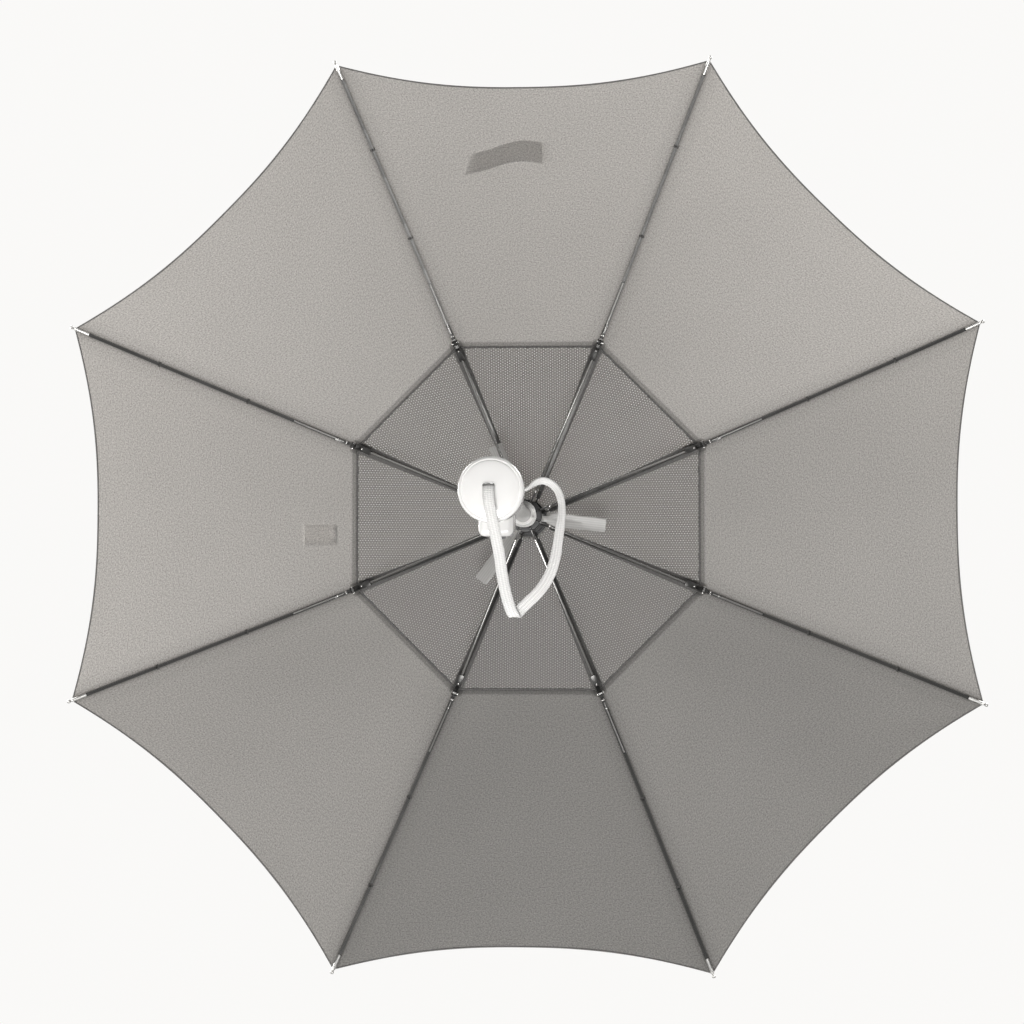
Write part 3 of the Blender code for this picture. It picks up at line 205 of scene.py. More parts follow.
def start_group(name, inputs, outputs):
    """A node group with named sockets, and its input and output nodes."""
    group = bpy.data.node_groups.new(name, "ShaderNodeTree")
    for label, kind, value in inputs:
        socket = group.interface.new_socket(label, in_out="INPUT", socket_type=kind)
        if value is not None:
            socket.default_value = value
    for label in outputs:
        group.interface.new_socket(label, in_out="OUTPUT", socket_type="NodeSocketFloat")
    return group, group.nodes.new("NodeGroupInput"), group.nodes.new("NodeGroupOutput")


def place_group(tree, group, **values):
    """A copy of a node group in a material, with its own values."""
    node = tree.nodes.new("ShaderNodeGroup")
    node.node_tree = group
    for label, value in values.items():
        socket = node.inputs[label.replace("_", " ")]
        if isinstance(value, (int, float)):
            socket.default_value = value
        else:
            tree.links.new(value, socket)
    return node


def map_of(tree, name="cut"):
    """The piece's own map, in metres."""
    node = tree.nodes.new("ShaderNodeUVMap")
    node.uv_map = name
    return node.outputs["UV"]


def relief(tree, shader, height, distance, strength=1.0):
    """A Bump node on the shader's normal."""
    bump = tree.nodes.new("ShaderNodeBump")
    bump.inputs["Distance"].default_value = distance
    bump.inputs["Strength"].default_value = strength
    tree.links.new(height, bump.inputs["Height"])
    tree.links.new(bump.outputs["Normal"], shader.inputs["Normal"])
    return bump.outputs["Normal"]


def shade(tree, shader, share, colour, dark):
    """The colour between a darker share of itself and itself, by a mask from 0 to 1."""
    mix = tree.nodes.new("ShaderNodeMix")
    mix.data_type = "RGBA"
    mix.inputs["A"].default_value = (colour[0] * dark, colour[1] * dark, colour[2] * dark, 1)
    mix.inputs["B"].default_value = colour
    tree.links.new(share, mix.inputs["Factor"])
    tree.links.new(mix.outputs["Result"], shader.inputs["Base Color"])
    return mix.outputs["Result"]


plait, plait_in, plait_out = start_group(
    "plait",
    [("Map", "NodeSocketVector", None), ("Strand", "NodeSocketFloat", 0.001)],
    ["Height"],
)
plait_parts = plait.nodes.new("ShaderNodeSeparateXYZ")
plait.links.new(plait_in.outputs["Map"], plait_parts.inputs[0])
plait_run = calc(plait, "MULTIPLY", plait_parts.outputs["X"], 2 * math.pi)
plait_side = calc(plait, "MULTIPLY", plait_parts.outputs["Y"], 2 * math.pi)
plait_rise = calc(plait, "DIVIDE", calc(plait, "ADD", plait_run, plait_side), plait_in.outputs["Strand"])
plait_fall = calc(plait, "DIVIDE", calc(plait, "SUBTRACT", plait_run, plait_side), plait_in.outputs["Strand"])
plait_over = calc(plait, "MULTIPLY", calc(plait, "SINE", plait_rise), calc(plait, "SINE", plait_fall))
plait.links.new(calc(plait, "MULTIPLY_ADD", plait_over, 0.5, 0.5), plait_out.inputs["Height"])

cord_cloth, tree, shader = start_material("cord_braid", cord_white, 0.75)
braid = place_group(tree, plait, Map=map_of(tree), Strand=cord_strand)
# Painted shade: the white cord is darkened in the hollows of its braid, between the strands.
shade(tree, shader, braid.outputs["Height"], cord_white, 0.74)
relief(tree, shader, braid.outputs["Height"], 0.0004, 0.8)
shader.inputs["Sheen Weight"].default_value = 0.15
wrist_cord.data.materials.append(cord_cloth)
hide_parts("wrist_strap")
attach(wrist_cord, "end_cap")

# Cloth
# Eight gores of thin grey polyester pongee, sewn together along the ribs and tied to them, with a rolled hem.
# Each piece here is the two half gores sewn at one rib, and its edges meet the next piece in mid gore.
ribs = 8
half_step = math.pi / ribs
grip_to_crown = 0.560
pivot_radius = 0.012
link = 0.176
open_angle = math.radians(74.0)
tip_radius = 0.4365
tip_drop = 0.1793
joint_radius = pivot_radius + link * math.sin(open_angle)
joint_drop = link * math.cos(open_angle)
cloth_lift = 0.0039
cloth_grey = (0.362, 0.358, 0.350, 1)
cloth_through = (0.505, 0.475, 0.445, 1)
net_radius = joint_radius - 0.00518
nub_shown = 0.004
rim_sag = 0.0202
rim_curve_power = 2.5
gore_sag = 0.004
cloth_rows = 48
cloth_columns = 40


def circle_through(p, q, s):
    """Centre and radius of the circle through three points."""
    (ax, ay), (bx, by), (cx, cy) = p, q, s
    d = 2 * (ax * (by - cy) + bx * (cy - ay) + cx * (ay - by))
    a = ax**2 + ay**2
    b = bx**2 + by**2
    c = cx**2 + cy**2
    ux = (a * (by - cy) + b * (cy - ay) + c * (ay - by)) / d
    uy = (a * (cx - bx) + b * (ax - cx) + c * (bx - ax)) / d
    return ux, uy, math.hypot(ax - ux, ay - uy)


arc_r, arc_d, arc_size = circle_through(
    (pivot_radius, 0.0), (joint_radius, joint_drop), (tip_radius, tip_drop)
)
start_slope = math.asin((pivot_radius - arc_r) / arc_size)
joint_run = (math.asin((joint_radius - arc_r) / arc_size) - start_slope) * arc_size
tip_run = (math.asin((tip_radius - arc_r) / arc_size) - start_slope) * arc_size


def spot(radius, drop, azimuth=0.0, side=0.0):
    """A point at a radius from the shaft's axis and a drop below the crown."""
    x = radius * math.cos(azimuth) - side * math.sin(azimuth)
    z = radius * math.sin(azimuth) + side * math.cos(azimuth)
    return Vector((x, grip_to_crown - drop, z))


def rib_azimuth(i):
    return half_step + i * 2 * half_step


def rim_rho(delta):
    """Where the hem lies, at this angle from a rib."""
    share = min(1.0, abs(delta) / half_step)
    return tip_radius - nub_shown - rim_sag * (1 - (1 - share) ** rim_curve_power)


def chord(delta):
    """How much nearer the axis a straight line between two ribs runs, at this angle from a rib."""
    return math.cos(half_step) / math.cos(half_step - abs(delta))


def on_canopy(rho, azimuth, delta, lift):
    """A point on the canopy. rho is the radius of the level line where it crosses the ribs."""
    slope = math.asin((rho - arc_r) / arc_size)
    drop = arc_d - arc_size * math.cos(slope)
    share = (rho - net_radius) / (tip_radius - net_radius)
    if 0 < share < 1:
        drop += gore_sag * 4 * share * (1 - share) * math.sin(math.pi / 2 * delta / half_step) ** 2
    r = rho * chord(delta) + lift * math.sin(slope)
    return spot(r, drop - lift * math.cos(slope), azimuth + delta)


def crease(rho, delta):
    """Shallow folds that fan out from the rib's tip, and slow waves in the gore."""
    to_tip = math.hypot(tip_radius - rho, rho * abs(delta))
    near = math.exp(-to_tip / 0.045)
    fan = math.sin(9 * math.atan2(rho * abs(delta), tip_radius - rho + 0.002) + 0.6)
    side = abs(delta) / half_step
    pull = math.exp(-abs(rho - joint_radius) / 0.03) * math.exp(-side * 4) * math.sin(side * 26)
    wave = math.sin(31 * rho + 2.0) * math.sin(math.pi * side)
    return side * (1 - side) * 4 * (0.0007 * near * fan + 0.0005 * wave) + 0.0004 * pull * side


def cloth_piece(name, azimuth):
    """The cloth of one rib from the net's seam to the hem, with its map and its distances from the seams."""
    points = []
    cut = []
    to_rib = []
    to_hem = []
    to_vent = []
    for i in range(cloth_rows + 1):
        share = i / cloth_rows
        for j in range(cloth_columns + 1):
            delta = half_step * (2 * j / cloth_columns - 1)
            rho = net_radius + (rim_rho(delta) - net_radius) * share
            points.append(on_canopy(rho, azimuth, delta, cloth_lift + crease(rho, delta)))
            depth = rho * math.cos(half_step)
            side = depth * (math.tan(half_step) - math.tan(half_step - abs(delta)))
            slope = math.asin((rho - arc_r) / arc_size)
            run = (slope - start_slope) * arc_size
            cut.append((0.5 + math.copysign(side, delta), run))
            to_rib.append(side)
            to_hem.append((rim_rho(delta) - rho) / math.cos(slope))
            to_vent.append((rho - net_radius) / math.cos(slope))
    width = cloth_columns + 1
    faces = []
    for i in range(cloth_rows):
        for j in range(cloth_columns):
            a = i * width + j
            faces.append((a, a + 1, a + width + 1, a + width))
    mesh = bpy.data.meshes.new(name)
    mesh.from_pydata([tuple(p) for p in points], [], faces)
    uv = mesh.uv_layers.new(name="cut")
    for corner in mesh.loops:
        uv.data[corner.index].uv = cut[corner.vertex_index]
    for label, values in (("to_rib", to_rib), ("to_hem", to_hem), ("to_vent", to_vent)):
        mesh.attributes.new(label, "FLOAT", "POINT").data.foreach_set("value", values)
    piece = bpy.data.objects.new(name, mesh)
    bpy.context.collection.objects.link(piece)
    if sum(face.normal.y for face in mesh.polygons) < 0:
        mesh.flip_normals()
    mesh.shade_smooth()
    return piece


speckle, speckle_in, speckle_out = start_group(
    "speckle",
    [("Map", "NodeSocketVector", None), ("Size", "NodeSocketFloat", 0.001), ("Depth", "NodeSocketFloat", 0.2)],
    ["Shade"],
)
speckle_scale = calc(speckle, "DIVIDE", 1.0, speckle_in.outputs["Size"])
speckle_fine = speckle.nodes.new("ShaderNodeTexNoise")
speckle_fine.inputs["Detail"].default_value = 2.0
speckle.links.new(speckle_in.outputs["Map"], speckle_fine.inputs["Vector"])
speckle.links.new(speckle_scale, speckle_fine.inputs["Scale"])
speckle_broad = speckle.nodes.new("ShaderNodeTexNoise")
speckle_broad.inputs["Scale"].default_value = 16.0
speckle_broad.inputs["Detail"].default_value = 3.0
speckle.links.new(speckle_in.outputs["Map"], speckle_broad.inputs["Vector"])
speckle_both = calc(
    speckle, "ADD",
    calc(speckle, "MULTIPLY", calc(speckle, "SUBTRACT", speckle_fine.outputs["Fac"], 0.5), 1.6),
    calc(speckle, "MULTIPLY", calc(speckle, "SUBTRACT", speckle_broad.outputs["Fac"], 0.5), 0.07),
)
speckle.links.new(
    calc(speckle, "MULTIPLY_ADD", speckle_both, speckle_in.outputs["Depth"], 1.0), speckle_out.inputs["Shade"]
)

weave, weave_in, weave_out = start_group(
    "weave",
    [("Map", "NodeSocketVector", None), ("Thread", "NodeSocketFloat", 0.0005)],
    ["Height"],
)
weave_parts = weave.nodes.new("ShaderNodeSeparateXYZ")
weave.links.new(weave_in.outputs["Map"], weave_parts.inputs[0])
weave_turn = calc(weave, "DIVIDE", math.pi, weave_in.outputs["Thread"])
weave_warp = calc(weave, "SINE", calc(weave, "MULTIPLY", weave_parts.outputs["X"], weave_turn))
weave_weft = calc(weave, "SINE", calc(weave, "MULTIPLY", weave_parts.outputs["Y"], weave_turn))
weave.links.new(
    calc(weave, "MULTIPLY_ADD", calc(weave, "MULTIPLY", weave_warp, weave_weft), 0.5, 0.5),
    weave_out.inputs["Height"],
)


def distance_mask(tree, label, low, high):
    """0 below the low distance from a seam and 1 above the high one."""
    node = tree.nodes.new("ShaderNodeAttribute")
    node.attribute_name = label
    ramp = tree.nodes.new("ShaderNodeMapRange")
    ramp.inputs["From Min"].default_value = low
    ramp.inputs["From Max"].default_value = high
    tree.links.new(node.outputs["Fac"], ramp.inputs["Value"])
    return ramp.outputs["Result"]


cloth_grain, tree, shader = start_material("cloth_pongee", cloth_grey, 0.8)
shader.inputs["Sheen Weight"].default_value = 0.1
grain = place_group(tree, speckle, Map=map_of(tree), Size=0.0013, Depth=0.95)
threads = place_group(tree, weave, Map=map_of(tree), Thread=0.00045)
# Darker band beside each rib: partly the seam allowance, partly painted shadow of the rib on the cloth.
rib_band = distance_mask(tree, "to_rib", 0.0024, 0.0062)
rib_stitch = distance_mask(tree, "to_rib", 0.0010, 0.0030)
# Painted shade: a soft darkening of the cloth on both sides of each rib, where it folds towards the rib.
painted_rib_shade = distance_mask(tree, "to_rib", 0.0020, 0.0180)
vent_band = distance_mask(tree, "to_vent", 0.0046, 0.0066)
vent_stitch = distance_mask(tree, "to_vent", 0.0008, 0.0024)
hem_band = distance_mask(tree, "to_hem", 0.0008, 0.0016)
patch_side = distance_mask(tree, "to_rib", 0.0062, 0.0076)
patch_end = distance_mask(tree, "to_vent", 0.0070, 0.0084)
patch = calc(tree, "MAXIMUM", patch_side, patch_end)
# The cloth's colour: stitches, seam bands and grain, with the painted shade beside the ribs.
cloth_marks_and_painted_shade = calc(tree, "MULTIPLY_ADD", rib_band, 0.22, 0.78)
cloth_marks_and_painted_shade = calc(tree, "MULTIPLY", cloth_marks_and_painted_shade, calc(tree, "MULTIPLY_ADD", rib_stitch, 0.38, 0.62))
cloth_marks_and_painted_shade = calc(tree, "MULTIPLY", cloth_marks_and_painted_shade, calc(tree, "MULTIPLY_ADD", painted_rib_shade, 0.13, 0.87))
cloth_marks_and_painted_shade = calc(tree, "MULTIPLY", cloth_marks_and_painted_shade, calc(tree, "MULTIPLY_ADD", vent_band, 0.38, 0.62))
cloth_marks_and_painted_shade = calc(tree, "MULTIPLY", cloth_marks_and_painted_shade, calc(tree, "MULTIPLY_ADD", vent_stitch, 0.42, 0.58))
cloth_marks_and_painted_shade = calc(tree, "MULTIPLY", cloth_marks_and_painted_shade, calc(tree, "MULTIPLY_ADD", patch, 0.35, 0.65))
cloth_marks_and_painted_shade = calc(tree, "MULTIPLY", cloth_marks_and_painted_shade, calc(tree, "MULTIPLY_ADD", hem_band, 0.35, 0.65))
cloth_marks_and_painted_shade = calc(tree, "MULTIPLY", cloth_marks_and_painted_shade, grain.outputs["Shade"])


def toned(tree, share, colour):
    """A colour multiplied by a share that changes over the surface."""
    mix = tree.nodes.new("ShaderNodeVectorMath")
    mix.operation = "SCALE"
    mix.inputs[0].default_value = colour[:3]
    tree.links.new(share, mix.inputs["Scale"])
    return mix.outputs[0]


tree.links.new(toned(tree, cloth_marks_and_painted_shade, cloth_grey), shader.inputs["Base Color"])
cloth_normal = relief(tree, shader, threads.outputs["Height"], 0.00008, 0.5)
through = tree.nodes.new("ShaderNodeBsdfTranslucent")
tree.links.new(toned(tree, cloth_marks_and_painted_shade, cloth_through), through.inputs["Color"])
tree.links.new(cloth_normal, through.inputs["Normal"])
both_sides = tree.nodes.new("ShaderNodeMixShader")
both_sides.inputs["Fac"].default_value = 0.45
tree.links.new(shader.outputs[0], both_sides.inputs[1])
tree.links.new(through.outputs[0], both_sides.inputs[2])
tree.links.new(both_sides.outputs[0], tree.nodes["Material Output"].inputs["Surface"])

# Hem
# The cloth's rim is folded over twice and stitched down. It shows as a thin dark line round the umbrella.
hem_width = 0.0013
hem_thick = 0.0008
hem_grey = (0.190, 0.186, 0.181, 1)
hem_cloth, tree, shader = start_material("hem_fold", hem_grey, 0.85)
hem_grain = place_group(tree, speckle, Map=map_of(tree), Size=0.0008, Depth=0.4)
tree.links.new(toned(tree, hem_grain.outputs["Shade"], hem_grey), shader.inputs["Base Color"])


def hem_piece(name, azimuth):
    loops = []
    for j in range(cloth_columns * 2 + 1):
        delta = half_step * (j / cloth_columns - 1)
        loop = []
        for k in range(8):
            a = 2 * math.pi * k / 8
            rho = rim_rho(delta) - hem_width / 2 + hem_width / 2 * math.cos(a)
            lift = cloth_lift + hem_thick / 2 * math.sin(a)
            loop.append(on_canopy(rho, azimuth, delta, lift))
        loops.append(loop)
    return sewn_tube(name, loops, 2 * hem_width)


# Net
# The top of the umbrella is a warp-knitted net of grey polyester with small round holes, so that the fan draws
# air in. It is cut in eight gores as the cloth is, and sewn to the cloth along an eight-sided seam.
net_thick = 0.00035
net_pitch = 0.0025
net_hole_wide = 0.26
net_hole_long = 0.36
net_inner = 0.0162
net_grey = (0.320, 0.316, 0.309, 1)
net_backlit = (0.590, 0.556, 0.522, 1)
net_lift = cloth_lift + 0.0002


def net_piece(name, azimuth):
    """Half a gore of net on each side of the rib, laid out flat as a field of six-sided cells and then curved."""
    side = net_pitch / math.sqrt(3)
    deep = net_radius * math.cos(half_step)
    wide = deep * math.tan(half_step)
    shape = bmesh.new()
    columns = int(wide / (1.5 * side)) + 2
    rows = int(deep / net_pitch) + 2
    for c in range(columns):
        for r in range(rows):
            x = 1.5 * side * c
            y = net_pitch * (r + 0.5 * (c % 2))
            if y < net_inner * 0.8 or x > y * math.tan(half_step) + 2 * side or y > deep + net_pitch:
                continue
            outer = []
            inner = []
            for k in range(6):
                a = math.pi * k / 3
                outer.append(shape.verts.new((x + side * math.cos(a), y + side * math.sin(a), 0)))
                hole = (x + side * net_hole_wide * math.cos(a), y + side * net_hole_long * math.sin(a), 0)
                inner.append(shape.verts.new(hole))
            for k in range(6):
                n = (k + 1) % 6
                shape.faces.new((outer[k], outer[n], inner[n], inner[k]))
    bmesh.ops.remove_doubles(shape, verts=shape.verts, dist=side * 0.02)
    slant = Vector((math.cos(half_step), -math.sin(half_step), 0))
    cuts = (
        (Vector((0, 0, 0)), Vector((-1, 0, 0))),
        (Vector((0, 0, 0)), slant),
        (Vector((0, deep, 0)), Vector((0, 1, 0))),
        (Vector((0, net_inner, 0)), Vector((0, -1, 0))),
    )
    for place, way in cuts:
        bmesh.ops.bisect_plane(
            shape, geom=shape.verts[:] + shape.edges[:] + shape.faces[:], plane_co=place, plane_no=way,
            clear_outer=True, dist=1e-7,
        )
    flat = bpy.data.meshes.new(name)
    shape.to_mesh(flat)
    shape.free()
    half_points = [v.co.copy() for v in flat.vertices]
    half_faces = [tuple(face.vertices) for face in flat.polygons]
    bpy.data.meshes.remove(flat)
    points = []
    cut = []
    faces = []
    for way in (1, -1):
        first = len(points)
        for p in half_points:
            delta = way * (half_step - math.atan2(p.x, p.y))
            points.append(on_canopy(p.y / math.cos(half_step), azimuth, delta, net_lift))
            cut.append((0.5 + way * (p.y * math.tan(half_step) - p.x), p.y))
        for face in half_faces:
            order = face if way > 0 else tuple(reversed(face))
            faces.append(tuple(first + v for v in order))
    mesh = bpy.data.meshes.new(name)
    mesh.from_pydata([tuple(p) for p in points], [], faces)
    uv = mesh.uv_layers.new(name="cut")
    for corner in mesh.loops:
        uv.data[corner.index].uv = cut[corner.vertex_index]
    piece = bpy.data.objects.new(name, mesh)
    bpy.context.collection.objects.link(piece)
    if sum(face.normal.y for face in mesh.polygons) < 0:
        mesh.flip_normals()
    bpy.context.view_layer.objects.active = piece
    thick = piece.modifiers.new("thick", "SOLIDIFY")
    thick.thickness = net_thick
    thick.offset = 1
    bpy.ops.object.modifier_apply(modifier="thick")
    return piece


net_knit, tree, shader = start_material("net_knit", net_grey, 0.8)
net_grain = place_group(tree, speckle, Map=map_of(tree), Size=0.0012, Depth=0.5)
net_tone = toned(tree, net_grain.outputs["Shade"], net_grey)
tree.links.new(net_tone, shader.inputs["Base Color"])
net_through = tree.nodes.new("ShaderNodeBsdfTranslucent")
tree.links.new(toned(tree, net_grain.outputs["Shade"], net_backlit), net_through.inputs["Color"])
net_both = tree.nodes.new("ShaderNodeMixShader")
net_both.inputs["Fac"].default_value = 0.45
tree.links.new(shader.outputs[0], net_both.inputs[1])
tree.links.new(net_through.outputs[0], net_both.inputs[2])
tree.links.new(net_both.outputs[0], tree.nodes["Material Output"].inputs["Surface"])

# Seams
# The net's gores are sewn together on a dark tape along each rib, and the net is bound to the cloth along the
# eight-sided seam. The dark tape is made wider towards the joint than at the hub: partly tape, partly painted
# shadow of the strut beside the rib. A small square of cloth is sewn over the seam at each rib joint.
# Painted shadow: the tape's width near the joint also covers the strut's shadow on the net.
tape_and_shadow_width = 0.0115
tape_share_at_hub = 0.36
tape_thick = 0.0004
bead_width = 0.0018
bead_thick = 0.0009
tape_grey = (0.150, 0.146, 0.142, 1)
bead_grey = (0.150, 0.146, 0.142, 1)
tape_cloth, tree, shader = start_material("tape_twill", tape_grey, 0.85)
tape_grain = place_group(tree, speckle, Map=map_of(tree), Size=0.0009, Depth=0.9)
tree.links.new(toned(tree, tape_grain.outputs["Shade"], tape_grey), shader.inputs["Base Color"])
relief(tree, shader, tape_grain.outputs["Shade"], 0.0002, 0.5)
bead_cloth, tree, shader = start_material("seam_fold", bead_grey, 0.85)
bead_grain = place_group(tree, speckle, Map=map_of(tree), Size=0.0014, Depth=1.4)
tree.links.new(toned(tree, bead_grain.outputs["Shade"], bead_grey), shader.inputs["Base Color"])
relief(tree, shader, bead_grain.outputs["Shade"], 0.0002, 0.5)


def tape_piece(name, azimuth):
    loops = []
    for i in range(31):
        rho = net_inner * 1.3 + (net_radius - net_inner * 1.3) * i / 30
        slope = math.asin((rho - arc_r) / arc_size)
        drop = arc_d - arc_size * math.cos(slope)
        wide = tape_and_shadow_width * (tape_share_at_hub + (1 - tape_share_at_hub) * (i / 30) ** 1.4)
        loop = []
        for w, h in ((-0.5, 0.0), (-0.4, 0.5), (0.4, 0.5), (0.5, 0.0), (0.4, -0.5), (-0.4, -0.5)):
            lift = cloth_lift - tape_thick * (0.7 - h)
            place = spot(rho + lift * math.sin(slope), drop - lift * math.cos(slope), azimuth, w * wide)
            loop.append(place)
        loops.append(loop)
    return sewn_tube(name, loops, 2 * tape_and_shadow_width)


def bead_piece(name, azimuth):
    loops = []
    for j in range(cloth_columns + 1):
        delta = half_step * (2 * j / cloth_columns - 1)
        loop = []
        for k in range(8):
            a = 2 * math.pi * k / 8
            wave = 0.0005 * math.sin(delta * 67 + azimuth) * math.cos(delta * 4) ** 2
            rho = net_radius + wave + bead_width / 2 * math.cos(a)
            lift = cloth_lift + bead_thick / 2 * math.sin(a)
            loop.append(on_canopy(rho, azimuth, delta, lift))
        loops.append(loop)
    return sewn_tube(name, loops, 2 * bead_width)


def put_sheet_on_rib(piece, i, material):
    """Give a piece of cloth its material and its rib, and a mesh of its own."""
    piece.data.materials.clear()
    piece.data.materials.append(material)
    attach(piece, f"rib_{i + 1}")
    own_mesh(piece)


for i in range(ribs):
    number = i + 1
    azimuth = rib_azimuth(i)
    cloth = cloth_piece(f"cloth_{number}", azimuth)
    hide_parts(f"canopy_{number}")
    hem = hem_piece(f"hem_{number}", azimuth)
    bead = bead_piece(f"vent_seam_{number}", azimuth)
    net = net_piece(f"net_{number}", azimuth)
    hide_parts(f"vent_net_{number}")
    tape = tape_piece(f"net_tape_{number}", azimuth)
    put_sheet_on_rib(cloth, i, cloth_grain)
    put_sheet_on_rib(hem, i, hem_cloth)
    put_sheet_on_rib(bead, i, bead_cloth)
    put_sheet_on_rib(net, i, net_knit)
    put_sheet_on_rib(tape, i, tape_cloth)

# Ribs
# Each rib is a rolled channel of dark steel. A short rod of lighter steel lies in the channel from just outside
# the joint: partly the spring rod, partly a painted highlight, lighter and ending where the rib's highlight fades.
# A crimped sleeve with small rivets holds the rod just outside the joint, and thread ties hold the cloth to the rib.
rib_depth = 0.0028
steel_dark = (0.105, 0.104, 0.102, 1)
steel_grey = (0.300, 0.296, 0.288, 1)
steel_bright = (0.66, 0.655, 0.64, 1)
rod_radius = 0.0009
sleeve_width = 0.0034
sleeve_length = 0.0150
rivet_radius = 0.0010
tie_run = (0.285, 0.375)
tie_radius = 0.00028

wear, wear_in, wear_out = start_group(
    "wear",
    [("Place", "NodeSocketVector", None), ("Size", "NodeSocketFloat", 0.004)],
    ["Mask", "Fine"],
)
wear_scale = calc(wear, "DIVIDE", 1.0, wear_in.outputs["Size"])
wear_cloud = wear.nodes.new("ShaderNodeTexNoise")
wear_cloud.inputs["Detail"].default_value = 6.0
wear_cloud.inputs["Roughness"].default_value = 0.6
wear.links.new(wear_in.outputs["Place"], wear_cloud.inputs["Vector"])
wear.links.new(wear_scale, wear_cloud.inputs["Scale"])
wear_grain = wear.nodes.new("ShaderNodeTexNoise")
wear_grain.inputs["Detail"].default_value = 2.0
wear.links.new(wear_in.outputs["Place"], wear_grain.inputs["Vector"])
wear.links.new(calc(wear, "MULTIPLY", wear_scale, 9.0), wear_grain.inputs["Scale"])
wear.links.new(wear_cloud.outputs["Fac"], wear_out.inputs["Mask"])
wear.links.new(wear_grain.outputs["Fac"], wear_out.inputs["Fine"])


def metal(name, colour, roughness):
    """Drawn or pressed metal, with a faint cloud in its polish and a fine grain."""
    material, tree, shader = start_material(name, colour, roughness, 1.0)
    place = tree.nodes.new("ShaderNodeTexCoord").outputs["Object"]
    worn = place_group(tree, wear, Place=place, Size=0.006)
    share = calc(tree, "MULTIPLY_ADD", worn.outputs["Mask"], 0.35, 0.82)
    tree.links.new(toned(tree, share, colour), shader.inputs["Base Color"])
    rough = calc(tree, "MULTIPLY_ADD", worn.outputs["Mask"], 0.22, roughness - 0.11)
    tree.links.new(rough, shader.inputs["Roughness"])
    relief(tree, shader, worn.outputs["Fine"], 0.000006, 0.3)
    return material


def plastic(name, colour, roughness, grain=0.00002):
    """Moulded plastic, with a faint unevenness in its gloss and skin."""
    material, tree, shader = start_material(name, colour, roughness)
    place = tree.nodes.new("ShaderNodeTexCoord").outputs["Object"]
    worn = place_group(tree, wear, Place=place, Size=0.011)
    share = calc(tree, "MULTIPLY_ADD", worn.outputs["Mask"], 0.06, 0.97)
    tree.links.new(toned(tree, share, colour), shader.inputs["Base Color"])
    rough = calc(tree, "MULTIPLY_ADD", worn.outputs["Mask"], 0.16, roughness - 0.08)
    tree.links.new(rough, shader.inputs["Roughness"])
    relief(tree, shader, worn.outputs["Fine"], grain, 0.35)
    return material


dark_metal = metal("steel_blacked", steel_dark, 0.34)
bright_metal = metal("steel_polished", steel_bright, 0.26)
grey_metal = metal("steel_drawn", steel_grey, 0.22)
# Lighter steel for the short rod: partly the rod's own steel, partly a painted highlight.
rod_highlight_metal = metal("steel_rod_painted_highlight", (0.42, 0.415, 0.405, 1), 0.34)


def dress_node(name, material):
    """A better material for a CAD node whose shape is right."""
    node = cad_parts[name]
    for slot in node.material_slots:
        slot.material = material
    if not node.material_slots:
        node.data.materials.append(material)


def on_arc(run, lift=0.0):
    """A point in the plane of azimuth 0, at a distance along the rib, lifted off it outwards."""
    slope = start_slope + run / arc_size
    r = arc_r + (arc_size + lift) * math.sin(slope)
    d = arc_d - (arc_size + lift) * math.cos(slope)
    return spot(r, d)


def arc_way(run):
    """The direction of the rib at that distance, outwards."""
    slope = start_slope + run / arc_size
    return Vector((math.cos(slope), -math.sin(slope), 0))


def arc_out(run):
    """The direction square to the rib there, away from the handle."""
    slope = start_slope + run / arc_size
    return Vector((math.sin(slope), math.cos(slope), 0))


def round_edges(piece, width, segments=2, angle=35):
    """Give the piece's sharp edges a small radius and smooth its faces."""
    bpy.ops.object.select_all(action="DESELECT")
    piece.select_set(True)
    bpy.context.view_layer.objects.active = piece
    edge = piece.modifiers.new("edge", "BEVEL")
    edge.width = width
    edge.segments = segments
    edge.limit_method = "ANGLE"
    edge.angle_limit = math.radians(angle)
    bpy.ops.object.modifier_apply(modifier="edge")
    bpy.ops.object.shade_smooth_by_angle(angle=math.radians(angle))
    return piece


def turned(name, rings, sides, place, way):
    """A turned piece: a circle extruded and scaled from ring to ring of (radius, height), then stood in place."""
    bpy.ops.object.select_all(action="DESELECT")
    radius, height = rings[0]
    bpy.ops.mesh.primitive_circle_add(vertices=sides, radius=radius, location=(0, 0, height))
    piece = bpy.context.object
    piece.name = name
    piece.data.name = name
    bpy.ops.object.transform_apply(location=True, rotation=True, scale=True)
    bpy.ops.object.mode_set(mode="EDIT")
    bpy.ops.mesh.select_all(action="SELECT")
    for wide, high in rings[1:]:
        bpy.ops.mesh.extrude_region_move(TRANSFORM_OT_translate={"value": (0, 0, high - height)})
        bpy.ops.transform.resize(value=(wide / radius, wide / radius, 1), center_override=(0, 0, high))
        radius = wide
        height = high
    bpy.ops.mesh.select_all(action="SELECT")
    bpy.ops.mesh.remove_doubles(threshold=0.000012)
    bpy.ops.mesh.normals_make_consistent(inside=False)
    bpy.ops.object.mode_set(mode="OBJECT")
    turn = Vector(way).to_track_quat("Z", "Y").to_matrix().to_4x4()
    piece.data.transform(Matrix.Translation(place) @ turn)
    return piece


def block(name, sizes, place, along=(1, 0, 0), out=(0, 1, 0)):
    """A block of three sizes, stood in place by the directions of its first and second side."""
    bpy.ops.object.select_all(action="DESELECT")
    bpy.ops.mesh.primitive_cube_add(size=1.0, location=(0, 0, 0))
    piece = bpy.context.object
    piece.name = name
    piece.data.name = name
    piece.scale = sizes
    bpy.ops.object.transform_apply(location=True, rotation=True, scale=True)
    first = Vector(along).normalized()
    second = Vector(out).normalized()
    third = first.cross(second)
    turn = Matrix((first, second, third)).transposed().to_4x4()
    piece.data.transform(Matrix.Translation(place) @ turn)
    return piece


